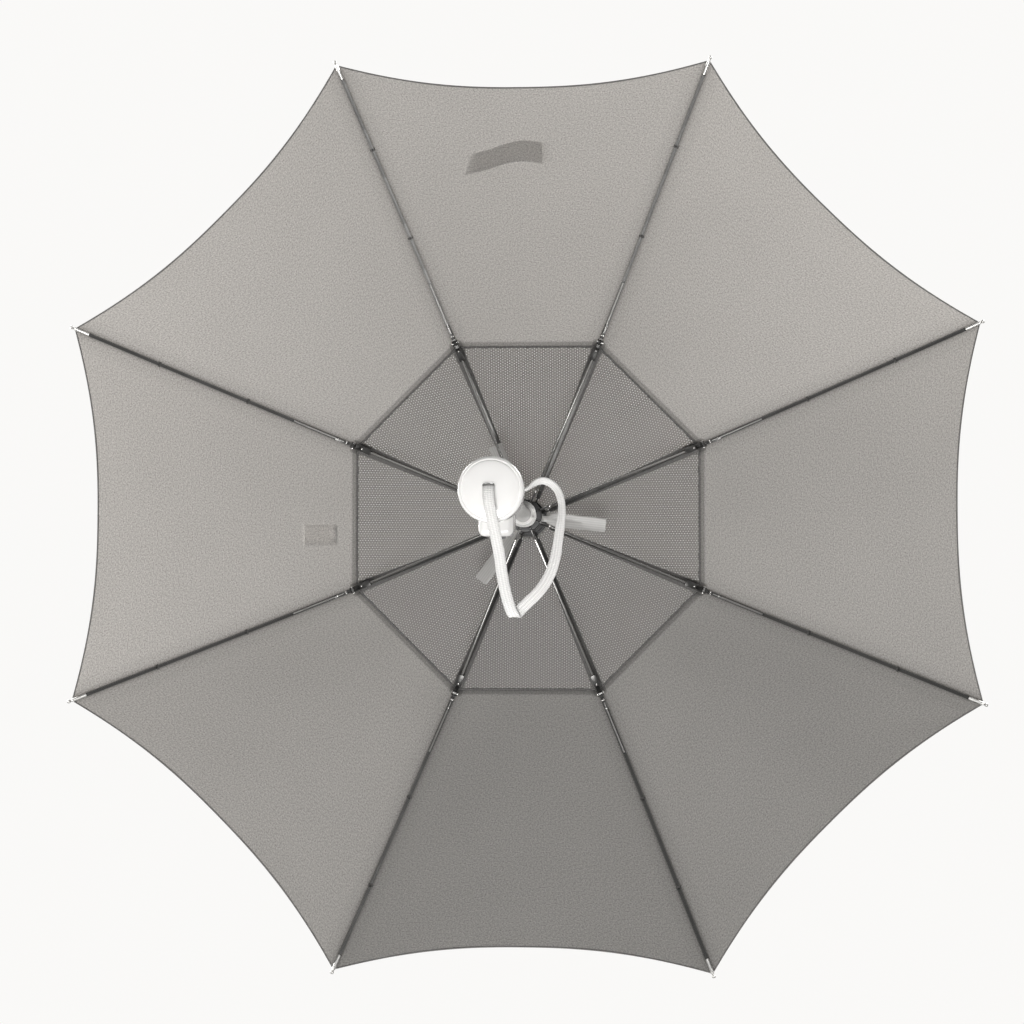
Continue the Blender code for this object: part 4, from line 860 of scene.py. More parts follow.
def join(name, pieces):
    """Several pieces of one part as one object."""
    bpy.ops.object.select_all(action="DESELECT")
    for piece in pieces:
        piece.select_set(True)
    bpy.context.view_layer.objects.active = pieces[0]
    bpy.ops.object.join()
    whole = bpy.context.object
    whole.name = name
    whole.data.name = name
    return whole


def painted(piece, material):
    piece.data.materials.clear()
    piece.data.materials.append(material)
    return piece


def copy_at(master, name, azimuth):
    """A copy with its own mesh, turned round the shaft."""
    piece = master.copy()
    piece.data = master.data.copy()
    piece.name = name
    piece.data.name = name
    bpy.context.collection.objects.link(piece)
    piece.data.transform(Matrix.Rotation(-azimuth, 4, "Y"))
    return piece


def dome(name, radius, place, way):
    """A small domed rivet head."""
    rings = [(0.000004, 0.0), (radius, 0.0), (radius, radius * 0.25), (radius * 0.72, radius * 0.55)]
    rings += [(radius * 0.35, radius * 0.68), (0.000004, radius * 0.72)]
    head = turned(name, rings, 12, place, way)
    bpy.ops.object.shade_smooth_by_angle(angle=math.radians(50))
    return painted(head, bright_metal)


def bent_rod(name, run_a, run_b, radius, lift, sides, steps):
    """A round rod along the rib's arc: a circle spun about the arc's centre."""
    bpy.ops.object.select_all(action="DESELECT")
    turn = arc_way(run_a).to_track_quat("Z", "Y").to_euler()
    bpy.ops.mesh.primitive_circle_add(vertices=sides, radius=radius, location=on_arc(run_a, lift), rotation=turn)
    rod = bpy.context.object
    rod.name = name
    rod.data.name = name
    bpy.ops.object.transform_apply(location=True, rotation=True, scale=True)
    bpy.ops.object.mode_set(mode="EDIT")
    bpy.ops.mesh.select_all(action="SELECT")
    bpy.ops.mesh.spin(
        steps=steps, angle=(run_b - run_a) / arc_size, center=(arc_r, grip_to_crown - arc_d, 0), axis=(0, 0, 1)
    )
    bpy.ops.mesh.select_all(action="SELECT")
    bpy.ops.mesh.fill_holes(sides=0)
    bpy.ops.mesh.normals_make_consistent(inside=False)
    bpy.ops.object.mode_set(mode="OBJECT")
    bpy.ops.object.shade_smooth_by_angle(angle=math.radians(50))
    return rod


sleeve_run = joint_run + 0.0040 + sleeve_length / 2
sleeve = block(
    "sleeve", (sleeve_length, rib_depth + 0.0010, sleeve_width), on_arc(sleeve_run, rib_depth / 2 - 0.0001),
    arc_way(sleeve_run), arc_out(sleeve_run),
)
painted(round_edges(sleeve, 0.0004), dark_metal)
# Painted highlight: the rod's lighter steel and its short run, 10 to 62 mm past the joint, stand for the rib's
# highlight.
rod = painted(bent_rod("rod", joint_run + 0.0100, joint_run + 0.0620, rod_radius, 0.0002, 12, 12), rod_highlight_metal)
fittings = [sleeve, rod]
for ahead, side in ((0.0072, 0.0008), (0.0072, -0.0008), (0.0160, 0.0)):
    place = on_arc(joint_run + ahead, -0.0006) + Vector((0, 0, side))
    fittings.append(dome("rivet", rivet_radius, place, -arc_out(joint_run + ahead)))
rib_fitting = join("rib_fitting", fittings)
thread_grey = (0.110, 0.107, 0.104, 1)
thread, tree, shader = start_material("tie_thread", thread_grey, 0.8)
thread_grain = place_group(
    tree, wear, Place=tree.nodes.new("ShaderNodeTexCoord").outputs["Object"], Size=0.001
)
tree.links.new(
    toned(tree, calc(tree, "MULTIPLY_ADD", thread_grain.outputs["Mask"], 1.0, 0.5), thread_grey),
    shader.inputs["Base Color"],
)
relief(tree, shader, thread_grain.outputs["Mask"], 0.0001, 0.6)
ties = []
for run in tie_run:
    for turn_number in range(3):
        at = run + turn_number * tie_radius * 2.1
        bpy.ops.object.select_all(action="DESELECT")
        bpy.ops.mesh.primitive_torus_add(
            major_segments=20, minor_segments=6, major_radius=0.0022, minor_radius=tie_radius,
            location=on_arc(at, rib_depth / 2 + 0.0004), rotation=arc_way(at).to_track_quat("Z", "Y").to_euler(),
        )
        bpy.ops.object.transform_apply(location=True, rotation=True, scale=True)
        bpy.ops.object.shade_smooth()
        ties.append(painted(bpy.context.object, thread))
rib_ties = join("rib_ties", ties)

# Rib tips
# Bright plated caps pushed over the ribs' ends, each with a rounded nub that stands out past the hem.
tip_length = 0.018
tip_run_middle = tip_run - tip_length / 2
tip_rings = [
    (0.0012, -0.5), (0.00150, -0.5), (0.00168, -0.49), (0.00168, -0.44), (0.00160, -0.43), (0.00160, 0.20),
    (0.00150, 0.24), (0.00108, 0.29), (0.00104, 0.33), (0.00140, 0.37), (0.00162, 0.41), (0.00160, 0.45),
    (0.00120, 0.485), (0.00070, 0.498), (0.000004, 0.5),
]
rib_cap = turned(
    "rib_cap", [(r, h * tip_length) for r, h in tip_rings], 20, on_arc(tip_run_middle, rib_depth / 2),
    arc_way(tip_run_middle),
)
bpy.ops.object.shade_smooth_by_angle(angle=math.radians(40))
tip_metal = metal("tip_plated", (0.74, 0.735, 0.72, 1), 0.42)
painted(rib_cap, tip_metal)

# Struts
# Each strut is a bright steel bar between a dark flat foot, riveted on, that turns in the runner, and a dark
# fork round the rib. A pin with two heads goes through the fork and the rib.
foot_drop = 2 * joint_drop
strut_slope = math.atan2(foot_drop - joint_drop, joint_radius - pivot_radius)
strut_along = Vector((math.cos(strut_slope), math.sin(strut_slope), 0))
strut_out = Vector((-math.sin(strut_slope), math.cos(strut_slope), 0))
strut_width = 0.0026
strut_depth = 0.0024
fork_length = 0.020
fork_half = 0.0019
cheek = 0.0009


def on_strut(along, lift=0.0):
    """A point in the plane of azimuth 0, at a distance from the strut's foot."""
    return spot(pivot_radius, foot_drop) + strut_along * along + strut_out * lift


bar_a = 0.0105
bar_b = link - fork_length + 0.003
bar = block(
    "bar", (bar_b - bar_a, strut_depth, strut_width), on_strut((bar_a + bar_b) / 2), strut_along, strut_out
)
painted(round_edges(bar, 0.0009, 4), grey_metal)
foot = block("foot", (0.0140, 0.0036, 0.0016), on_strut(0.0070), strut_along, strut_out)
painted(round_edges(foot, 0.0005, 2), dark_metal)
foot_eye = turned(
    "foot_eye", [(0.000004, -0.0008), (0.0024, -0.0008), (0.0024, 0.0008), (0.000004, 0.0008)], 20,
    on_strut(0.0), (0, 0, 1),
)
painted(round_edges(foot_eye, 0.0003, 2), dark_metal)
strut_parts = [bar, foot, foot_eye]
for way in (-1, 1):
    side = Vector((0, 0, way * (fork_half + cheek / 2)))
    plate = block(
        "plate", (fork_length - 0.001, strut_depth * 1.35, cheek), on_strut(link - fork_length / 2) + side,
        strut_along, strut_out,
    )
    painted(round_edges(plate, 0.0003, 2), dark_metal)
    eye = turned(
        "eye", [(0.000004, -cheek / 2), (0.0026, -cheek / 2), (0.0026, cheek / 2), (0.000004, cheek / 2)], 20,
        on_strut(link) + side, (0, 0, 1),
    )
    painted(round_edges(eye, 0.0002, 2), dark_metal)
    head = dome("head", 0.0019, on_strut(link) + Vector((0, 0, way * 0.0028)), (0, 0, way))
    strut_parts += [plate, eye, head]
floor_plate = block(
    "floor_plate", (fork_length - 0.0085, 0.0008, 2 * (fork_half + cheek) - 0.0002),
    on_strut(link - fork_length + (fork_length - 0.0085) / 2, -strut_depth * 0.62), strut_along, strut_out,
)
painted(round_edges(floor_plate, 0.0003, 2), dark_metal)
fork_end = block(
    "fork_end", (0.004, strut_depth * 1.3, 2 * (fork_half + cheek) - 0.0002),
    on_strut(link - fork_length + 0.002), strut_along, strut_out,
)
painted(round_edges(fork_end, 0.0005, 2), dark_metal)
pin = turned(
    "pin", [(0.000004, -0.0029), (0.0010, -0.0029), (0.0010, 0.0029), (0.000004, 0.0029)], 12, on_strut(link),
    (0, 0, 1),
)
painted(pin, bright_metal)
strut_parts += [floor_plate, fork_end, pin]
strut_parts.append(dome("rivet", 0.0013, on_strut(0.0125, -strut_depth * 0.72), -strut_out))
strut_parts.append(dome("rivet", rivet_radius, on_strut(link - 0.0105, -strut_depth * 0.76), -strut_out))
strut_master = join("strut_master", strut_parts)

for i in range(ribs):
    number = i + 1
    azimuth = rib_azimuth(i)
    dress_node(f"rib_{number}", dark_metal)
    fitting = copy_at(rib_fitting, f"rib_fitting_{number}", azimuth)
    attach(fitting, f"rib_{number}")
    thread_ties = copy_at(rib_ties, f"thread_ties_{number}", azimuth)
    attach(thread_ties, f"rib_{number}")
    cap = copy_at(rib_cap, f"tip_{number}", azimuth)
    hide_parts(f"rib_tip_{number}")
    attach(cap, f"rib_{number}")
    bar = copy_at(strut_master, f"stretcher_{number}", azimuth)
    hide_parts(f"strut_{number}")
    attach(bar, f"strut_{number}")
for master in (rib_fitting, rib_ties, rib_cap, strut_master):
    bpy.data.objects.remove(master, do_unlink=True)

# Shaft, crown and ferrule
# A drawn steel tube, 14 mm across, carries a moulded black notch that the ribs turn in. The ferrule is pressed
# over the notch from outside and clamps the net.
shaft_radius = 0.007
shaft_wall = 0.0008
shaft_top = 0.0137
shaft_foot = 0.560 + 0.085 - 0.170 + 0.060
along_shaft = Vector((0, 1, 0))
crown = Vector((0, grip_to_crown, 0))
black_plastic = plastic("nylon_black", (0.022, 0.022, 0.023, 1), 0.42)
white_plastic = plastic("abs_white", (0.80, 0.795, 0.785, 1), 0.22)
shaft_paint = plastic("shaft_lacquer", (0.82, 0.815, 0.805, 1), 0.2)
shaft = turned(
    "shaft", [
        (shaft_radius, -shaft_foot), (shaft_radius, shaft_top), (shaft_radius - shaft_wall, shaft_top),
        (shaft_radius - shaft_wall, -shaft_foot), (shaft_radius, -shaft_foot),
    ], 48, crown, along_shaft,
)
bpy.ops.object.shade_smooth_by_angle(angle=math.radians(40))
painted(shaft, shaft_paint)
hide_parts("shaft_tube")
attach(shaft, "shaft")
dress_node("crown_notch", black_plastic)
flange = 0.019
ferrule_rings = [
    (0.0073, 0.0045), (0.0153, 0.0045), (0.0153, 0.0038), (flange - 0.0006, 0.0038), (flange, 0.0044), (flange, 0.0056),
    (flange - 0.0008, 0.0064), (0.0150, 0.0070), (0.0112, 0.0082), (0.0096, 0.0105), (0.0090, 0.0140),
    (0.0089, 0.0176), (0.0080, 0.0184), (0.0062, 0.0196), (0.0052, 0.0216), (0.0048, 0.0240), (0.0044, 0.0330),
    (0.0042, 0.0415), (0.0036, 0.0438), (0.0024, 0.0447), (0.000004, 0.0450),
]
ferrule = turned("ferrule_cap", [(0.000004, 0.0140), (0.0073, 0.0140)] + ferrule_rings, 48, crown, along_shaft)
bpy.ops.object.shade_smooth_by_angle(angle=math.radians(38))
painted(ferrule, black_plastic)
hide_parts("ferrule")
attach(ferrule, "shaft")

# Runner
# Moulded in white plastic: a slotted ring that holds the struts' feet, a slim sleeve and a stepped flange for
# the hand. A sprung catch stands in a window of the sleeve.
runner_bore = 0.0073
runner_top = foot_drop - 0.005
notch_low = foot_drop + 0.005
runner_end = runner_top + 0.067
flange_start = runner_end - 0.006
ring_rings = [
    (runner_bore, runner_top), (0.0147, runner_top), (0.0153, runner_top + 0.0006), (0.0153, notch_low - 0.0006),
    (0.0147, notch_low), (runner_bore, notch_low), (runner_bore, runner_top),
]
notch_ring = turned("notch_ring", [(r, -d) for r, d in ring_rings], 64, crown, along_shaft)
sleeve_rings = [
    (runner_bore, notch_low), (0.0104, notch_low), (0.0091, notch_low + 0.0012), (0.0090, flange_start - 0.0014),
    (0.0098, flange_start - 0.0003), (0.0113, flange_start), (0.0118, flange_start + 0.0005),
    (0.0118, runner_end - 0.0010), (0.0115, runner_end - 0.0006), (0.0112, runner_end - 0.0006),
    (0.0110, runner_end - 0.0028), (0.0103, runner_end - 0.0028), (0.0101, runner_end - 0.0004),
    (0.0098, runner_end), (0.0086, runner_end), (0.0084, runner_end - 0.0010),
    (0.0078, runner_end - 0.0010), (0.0076, runner_end - 0.0002), (runner_bore, runner_end - 0.0002),
    (runner_bore, notch_low),
]
runner_ring = turned("runner_sleeve", [(r, -d) for r, d in sleeve_rings], 64, crown, along_shaft)


def cut_away(piece, tool):
    """Cut a tool's shape out of the piece."""
    bpy.ops.object.select_all(action="DESELECT")
    piece.select_set(True)
    bpy.context.view_layer.objects.active = piece
    cut = piece.modifiers.new("cut", "BOOLEAN")
    cut.operation = "DIFFERENCE"
    cut.solver = "EXACT"
    cut.object = tool
    bpy.ops.object.modifier_apply(modifier="cut")
    bpy.data.objects.remove(tool, do_unlink=True)
    return piece


for i in range(ribs):
    azimuth = rib_azimuth(i)
    out = Vector((math.cos(azimuth), 0, math.sin(azimuth)))
    slot_cut = block(
        "slot_cut", (0.0080, 0.0200, 0.0024), spot(0.0132, foot_drop, azimuth), out, along_shaft
    )
    cut_away(notch_ring, slot_cut)
for way in (-1, 1):
    arc_slot = block(
        "arc_slot", (0.0062, 0.0120, 0.0019), crown - along_shaft * runner_end + Vector((way * 0.0091, 0, 0)),
        (0, 0, 1), (0, 1, 0),
    )
    cut_away(runner_ring, arc_slot)
window = block("window", (0.0066, 0.0076, 0.0050), (0, 0.4134, -0.0090), (1, 0, 0), (0, 1, 0))
cut_away(runner_ring, window)
bpy.ops.object.shade_smooth_by_angle(angle=math.radians(35))
for part, material, slot_name in (
    (runner_ring, white_plastic, "plastic_white"), (notch_ring, black_plastic, "plastic_black")
):
    painted(round_edges(part, 0.0002, 2), material)
    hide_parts("runner")
    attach(part, "runner")
catch_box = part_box("runner_button")
catch_size = [high - low for low, high in zip(*catch_box)]
catch_middle = [(high + low) / 2 for low, high in zip(*catch_box)]
catch = block("catch", catch_size, catch_middle)
round_edges(catch, 0.0012, 4)
painted(catch, white_plastic)
catch_ribs = [catch]
for step in (-1, 0, 1):
    rib_bar = block(
        "rib_bar", (catch_size[0] * 0.7, 0.0006, 0.0006),
        (catch_middle[0], catch_middle[1] + step * 0.0015, catch_box[0][2] + 0.00035),
    )
    catch_ribs.append(painted(round_edges(rib_bar, 0.0002, 2), white_plastic))
catch = join("runner_catch", catch_ribs)
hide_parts("runner_button")
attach(catch, "runner_button")

# Fan
# A flat motor in a dark grey can is clamped on the shaft under the crown. Its hub carries three narrow blades of
# translucent white plastic, hinged on small pins so that they fold down along the shaft.
motor_grey = plastic("motor_can", (0.085, 0.085, 0.088, 1), 0.38)
hub_grey = plastic("hub_nylon", (0.14, 0.14, 0.142, 1), 0.4)
motor_rings = [
    (0.0073, 0.0140), (0.0112, 0.0140), (0.0126, 0.0146), (0.0130, 0.0160), (0.0130, 0.0215), (0.0126, 0.0219),
    (0.0126, 0.0228), (0.0130, 0.0232), (0.0130, 0.0392), (0.0126, 0.0396), (0.0126, 0.0405), (0.0130, 0.0409),
    (0.0130, 0.0460), (0.0125, 0.0474), (0.0112, 0.0480), (0.0073, 0.0480), (0.0073, 0.0140),
]
motor = turned("motor_can", [(r, -d) for r, d in motor_rings], 64, crown, along_shaft)
bpy.ops.object.shade_smooth_by_angle(angle=math.radians(38))
painted(motor, motor_grey)
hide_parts("fan_motor")
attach(motor, "shaft")

blade_drop = 0.0568
hinge_radius = 0.0135
blade_tip = 0.075
blade_width = 0.0135
blade_thick = 0.0012
blade_pitch = math.radians(16.0)
knuckle = 0.0024
knuckle_half = 0.003
hub_rings = [
    (0.0076, 0.0488), (0.0104, 0.0488), (0.0107, 0.0492), (0.0107, 0.0630), (0.0102, 0.0640), (0.0092, 0.0648),
    (0.0076, 0.0648), (0.0076, 0.0488),
]
hub = turned("hub", [(r, -d) for r, d in hub_rings], 48, crown, along_shaft)
bpy.ops.object.shade_smooth_by_angle(angle=math.radians(38))
hub_parts = [painted(hub, hub_grey)]
hinge = crown - along_shaft * blade_drop + Vector((hinge_radius, 0, 0))
for k in range(3):
    azimuth = math.radians(-6.0 + 120.0 * k)
    for way in (-1, 1):
        ear = turned(
            "ear", [(0.000004, -0.00075), (knuckle, -0.00075), (knuckle, 0.00075), (0.000004, 0.00075)], 20,
            hinge + Vector((0, 0, way * 0.00405)), (0, 0, 1),
        )
        round_edges(ear, 0.0002, 2)
        arm = block(
            "arm", (0.0048, knuckle * 1.9, 0.0014), hinge + Vector((-0.0022, 0, way * 0.00405)), (1, 0, 0), (0, 1, 0)
        )
        round_edges(arm, 0.0002, 2)
        for part in (ear, arm):
            part.data.transform(Matrix.Rotation(-azimuth, 4, "Y"))
            hub_parts.append(painted(part, hub_grey))
    hinge_pin = turned(
        "hinge_pin", [(0.000004, -0.0047), (0.0006, -0.0047), (0.0006, 0.0047), (0.000004, 0.0047)], 10, hinge,
        (0, 0, 1),
    )
    hinge_pin.data.transform(Matrix.Rotation(-azimuth, 4, "Y"))
    hub_parts.append(painted(hinge_pin, bright_metal))
fan_hub = join("hub_with_ears", hub_parts)
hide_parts("fan_hub")
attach(fan_hub, "fan")

blade_pale = (0.60, 0.592, 0.578, 1)
blade_white, tree, shader = start_material("blade_pp", blade_pale, 0.35)
blade_place = tree.nodes.new("ShaderNodeTexCoord").outputs["Object"]
blade_skin = place_group(tree, wear, Place=blade_place, Size=0.005)
blade_parts = tree.nodes.new("ShaderNodeSeparateXYZ")
tree.links.new(map_of(tree), blade_parts.inputs[0])
blade_line = calc(tree, "SINE", calc(tree, "MULTIPLY", blade_parts.outputs["Y"], 2 * math.pi / 0.0021))
blade_share = calc(tree, "MULTIPLY_ADD", blade_skin.outputs["Mask"], 0.12, 0.94)
blade_share = calc(tree, "MULTIPLY", blade_share, calc(tree, "MULTIPLY_ADD", blade_line, 0.07, 0.93))
blade_tone = toned(tree, blade_share, blade_pale)
tree.links.new(blade_tone, shader.inputs["Base Color"])
relief(tree, shader, blade_skin.outputs["Fine"], 0.00002, 0.3)
blade_through = tree.nodes.new("ShaderNodeBsdfTranslucent")
tree.links.new(blade_tone, blade_through.inputs["Color"])
blade_both = tree.nodes.new("ShaderNodeMixShader")
blade_both.inputs["Fac"].default_value = 0.22
tree.links.new(shader.outputs[0], blade_both.inputs[1])
tree.links.new(blade_through.outputs[0], blade_both.inputs[2])
tree.links.new(blade_both.outputs[0], tree.nodes["Material Output"].inputs["Surface"])

blade_stations = [
    (hinge_radius + 0.0012, 0.42, 0.0), (hinge_radius + 0.0048, 0.42, 0.25), (hinge_radius + 0.0072, 0.62, 0.65),
    (hinge_radius + 0.0096, 0.94, 0.97), (hinge_radius + 0.0125, 1.0, 1.0), (hinge_radius + 0.030, 1.0, 0.92),
    (blade_tip - 0.0055, 1.0, 0.8), (blade_tip - 0.0016, 1.0, 0.77), (blade_tip - 0.0005, 0.96, 0.75),
    (blade_tip, 0.86, 0.75),
]


def blade_piece(name):
    """A blade at azimuth 0: a circle flattened into a lens and extruded from station to station."""
    bpy.ops.object.select_all(action="DESELECT")
    first_x, first_width, first_pitch = blade_stations[0]
    bpy.ops.mesh.primitive_circle_add(
        vertices=20, radius=0.5, location=(first_x, 0, 0), rotation=(0, math.pi / 2, 0), fill_type="NGON"
    )
    blade = bpy.context.object
    blade.name = name
    blade.data.name = name
    bpy.ops.object.transform_apply(location=True, rotation=True, scale=True)
    bpy.ops.object.mode_set(mode="EDIT")
    bpy.ops.mesh.select_all(action="SELECT")
    wide = blade_width * first_width
    bpy.ops.transform.resize(value=(1, blade_thick, wide), center_override=(first_x, 0, 0))
    x = first_x
    pitch = 0.0
    for next_x, width_share, pitch_share in blade_stations[1:]:
        bpy.ops.mesh.extrude_region_move(TRANSFORM_OT_translate={"value": (next_x - x, 0, 0)})
        bpy.ops.transform.rotate(value=pitch, orient_axis="X", center_override=(next_x, 0, 0))
        next_wide = blade_width * width_share
        bpy.ops.transform.resize(value=(1, 1, next_wide / wide), center_override=(next_x, 0, 0))
        next_pitch = blade_pitch * pitch_share
        bpy.ops.transform.rotate(value=-next_pitch, orient_axis="X", center_override=(next_x, 0, 0))
        x = next_x
        wide = next_wide
        pitch = next_pitch
    bpy.ops.mesh.select_all(action="SELECT")
    bpy.ops.mesh.normals_make_consistent(inside=False)
    bpy.ops.object.mode_set(mode="OBJECT")
    blade.data.transform(Matrix.Translation(crown - along_shaft * blade_drop))
    bpy.ops.object.shade_smooth_by_angle(angle=math.radians(45))
    painted(blade, blade_white)
    barrel = turned(
        "barrel", [
            (0.0009, -knuckle_half), (knuckle, -knuckle_half), (knuckle, knuckle_half), (0.0009, knuckle_half),
            (0.0009, -knuckle_half),
        ], 24, hinge, (0, 0, 1),
    )
    painted(round_edges(barrel, 0.0003, 2), blade_white)
    spine = block(
        "spine", (0.034, 0.0006, 0.0012), hinge + Vector((0.0215, 0, 0)), (1, 0, 0), (0, 1, 0)
    )
    spine.data.transform(Matrix.Translation((0, -0.0006, 0)))
    painted(round_edges(spine, 0.0002, 2), blade_white)
    whole = join(name, [blade, barrel, spine])
    flat_map = whole.data.uv_layers.active or whole.data.uv_layers.new(name="cut")
    flat_map.name = "cut"
    for corner in whole.data.loops:
        place = whole.data.vertices[corner.vertex_index].co
        flat_map.data[corner.index].uv = (place.x, place.z)
    return whole


blade_master = blade_piece("blade_master")
for k in range(3):
    blade = copy_at(blade_master, f"fan_blade_{k + 1}", math.radians(-6.0 + 120.0 * k))
    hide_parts(f"blade_{k + 1}")
    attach(blade, f"blade_{k + 1}")
bpy.data.objects.remove(blade_master, do_unlink=True)

# Handle
# Two glossy white half shells, moulded and clipped together on the level plane, taper from the cap to the shaft.
# They hold the battery cell and a small circuit board.
cap_end = Vector((0, -0.085, 0))
handle_wall = 0.0022
shell_gap = 0.0003
handle_line = [
    (0.0200, 0.0143), (0.0196, 0.0250), (0.0190, 0.0400), (0.0182, 0.0600), (0.0173, 0.0800), (0.0162, 0.1090),
    (0.0150, 0.1380), (0.0142, 0.1530), (0.0134, 0.1630), (0.0125, 0.1678), (0.0106, 0.1700),
]
gloss_white = plastic("handle_gloss", (0.755, 0.75, 0.742, 1), 0.14, 0.000008)
gloss_white.node_tree.nodes["Principled BSDF"].inputs["Coat Weight"].default_value = 0.5
gloss_white.node_tree.nodes["Principled BSDF"].inputs["Coat Roughness"].default_value = 0.08


outer_line = []
for k in range(29):
    r, h, _ = smooth_point([(r, h, 0.0) for r, h in handle_line], k / 28)
    outer_line.append((r, h))
inner_line = [(0.0073, 0.1700), (0.0073, 0.1640)]
inner_line += [(r - handle_wall, h) for r, h in reversed(outer_line) if h < 0.1640]
shell_rings = outer_line + inner_line + [outer_line[0]]
for name, node, way in (("shell_upper", "handle_upper", 1), ("shell_lower", "handle_lower", -1)):
    shell = turned(name, shell_rings, 72, cap_end, along_shaft)
    bpy.ops.object.mode_set(mode="EDIT")
    bpy.ops.mesh.select_all(action="SELECT")
    bpy.ops.mesh.bisect(
        plane_co=(0, 0, way * shell_gap / 2), plane_no=(0, 0, -way), use_fill=True, clear_outer=True
    )
    bpy.ops.mesh.select_all(action="SELECT")
    bpy.ops.mesh.normals_make_consistent(inside=False)
    bpy.ops.object.mode_set(mode="OBJECT")
    round_edges(shell, 0.0003, 2, 40)
    painted(shell, gloss_white)
    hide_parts(node)
    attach(shell, "shaft")
battery_green = plastic("cell_sleeve", (0.05, 0.22, 0.11, 1), 0.35)
board_green = plastic("board_lacquer", (0.04, 0.16, 0.08, 1), 0.4)
dress_node("battery", battery_green)
dress_node("circuit_board", board_green)

# Switch housing
# A white box moulded round the lower side of the handle, with a power button in a sunk ring on its face.
housing_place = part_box("switch_housing")
housing_low = Vector(housing_place[0])
housing_high = Vector(housing_place[1])
housing = block(
    "housing", (housing_high.x - housing_low.x, housing_high.y - housing_low.y, 0.0200),
    (0, (housing_high.y + housing_low.y) / 2, housing_low.z + 0.0100),
)
bpy.ops.object.select_all(action="DESELECT")
housing.select_set(True)
bpy.context.view_layer.objects.active = housing
corner = housing.modifiers.new("corner", "BEVEL")
corner.width = 0.004
corner.segments = 6
bpy.ops.object.modifier_apply(modifier="corner")
handle_solid = turned(
    "handle_solid", [(0.000004, 0.0123)] + [(0.0203, 0.0123)] + [(r + 0.0003, h) for r, h in outer_line]
    + [(0.000004, 0.1703)], 72, cap_end, along_shaft,
)
cut_away(housing, handle_solid)
power_y = (housing_high.y + housing_low.y) / 2
housing_face = housing_low.z
button_well = turned(
    "button_well", [(0.000004, -0.003), (0.0058, -0.003), (0.0058, 0.0046), (0.000004, 0.0046)], 40,
    (0, power_y, housing_face), (0, 0, 1),
)
cut_away(housing, button_well)
ring_groove = turned(
    "ring_groove", [
        (0.0066, -0.001), (0.0072, -0.001), (0.0072, 0.0003), (0.0066, 0.0003), (0.0066, -0.001),
    ], 40, (0, power_y, housing_face), (0, 0, 1),
)
cut_away(housing, ring_groove)
bpy.ops.object.shade_smooth_by_angle(angle=math.radians(30))
painted(housing, gloss_white)
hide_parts("switch_housing")
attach(housing, "shaft")
button_grey = plastic("button_rubber", (0.16, 0.16, 0.162, 1), 0.5)
button_rings = [
    (0.000004, -0.0007), (0.0030, -0.0008), (0.0044, -0.0011), (0.0050, -0.0012), (0.0054, -0.0009),
    (0.0055, -0.0004), (0.0055, 0.0035), (0.000004, 0.0035),
]
button = turned("switch_button", button_rings, 40, (0, power_y, housing_face), (0, 0, 1))
bpy.ops.object.shade_smooth_by_angle(angle=math.radians(40))
painted(button, button_grey)
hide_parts("power_button")
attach(button, "power_button")

# End cap
# The white cap that closes the battery space: a low dome with a fine groove near its rim, a hole that the cord
# leaves by, and a slot in its side where the cord goes back in.
cap_rings = [
    (0.000004, 0.0), (0.0030, 0.00002), (0.0062, 0.00010), (0.0102, 0.00034), (0.0135, 0.00068), (0.0160, 0.00108),
    (0.01760, 0.00150), (0.01780, 0.00230), (0.01850, 0.00235), (0.01870, 0.00180), (0.01945, 0.00222),
    (0.02010, 0.00300), (0.02042, 0.00400), (0.02050, 0.00520), (0.02050, 0.01260), (0.02040, 0.01340),
    (0.02010, 0.01400), (0.01750, 0.01400), (0.01750, 0.01900), (0.01600, 0.01900), (0.01600, 0.00470),
    (0.01200, 0.00330), (0.000004, 0.00260),
]
end_cap = turned("cord_cap", cap_rings, 96, cap_end, along_shaft)
cord_hole = block("cord_hole", (0.0074, 0.0080, 0.0024), cap_end + Vector((-0.0012, 0.0020, 0.0024)))
round_edges(cord_hole, 0.0010, 5)
cut_away(end_cap, cord_hole)
side_slot = block(
    "side_slot", (0.0085, 0.0084, 0.0042), cap_end + Vector((0.0185, 0.00868, 0)), (1, 0, 0), (0, 1, 0)
)
cut_away(end_cap, side_slot)
round_edges(end_cap, 0.00025, 2, 50)
painted(end_cap, gloss_white)
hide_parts("end_cap")
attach(end_cap, "end_cap")

# Closing strap
# A strip of the umbrella's cloth, folded double and stitched, is sewn to the outside of the top gore. A patch
# that it fastens to is sewn to the left gore. Both show through the cloth as darker shapes.
strap_thick = 0.0008
strap_lift = cloth_lift + 0.0009
strap_width = 0.0165
strap_rows = 40
strap_columns = 8


def on_outside(x, z, lift):
    """The point of the canopy's outside over a place in the plane across the shaft."""
    azimuth = math.atan2(z, x) % (2 * math.pi)
    nearest = int(azimuth / (2 * half_step)) % ribs
    delta = azimuth - rib_azimuth(nearest)
    rho = math.hypot(x, z) / chord(delta)
    return on_canopy(rho, rib_azimuth(nearest), delta, lift)


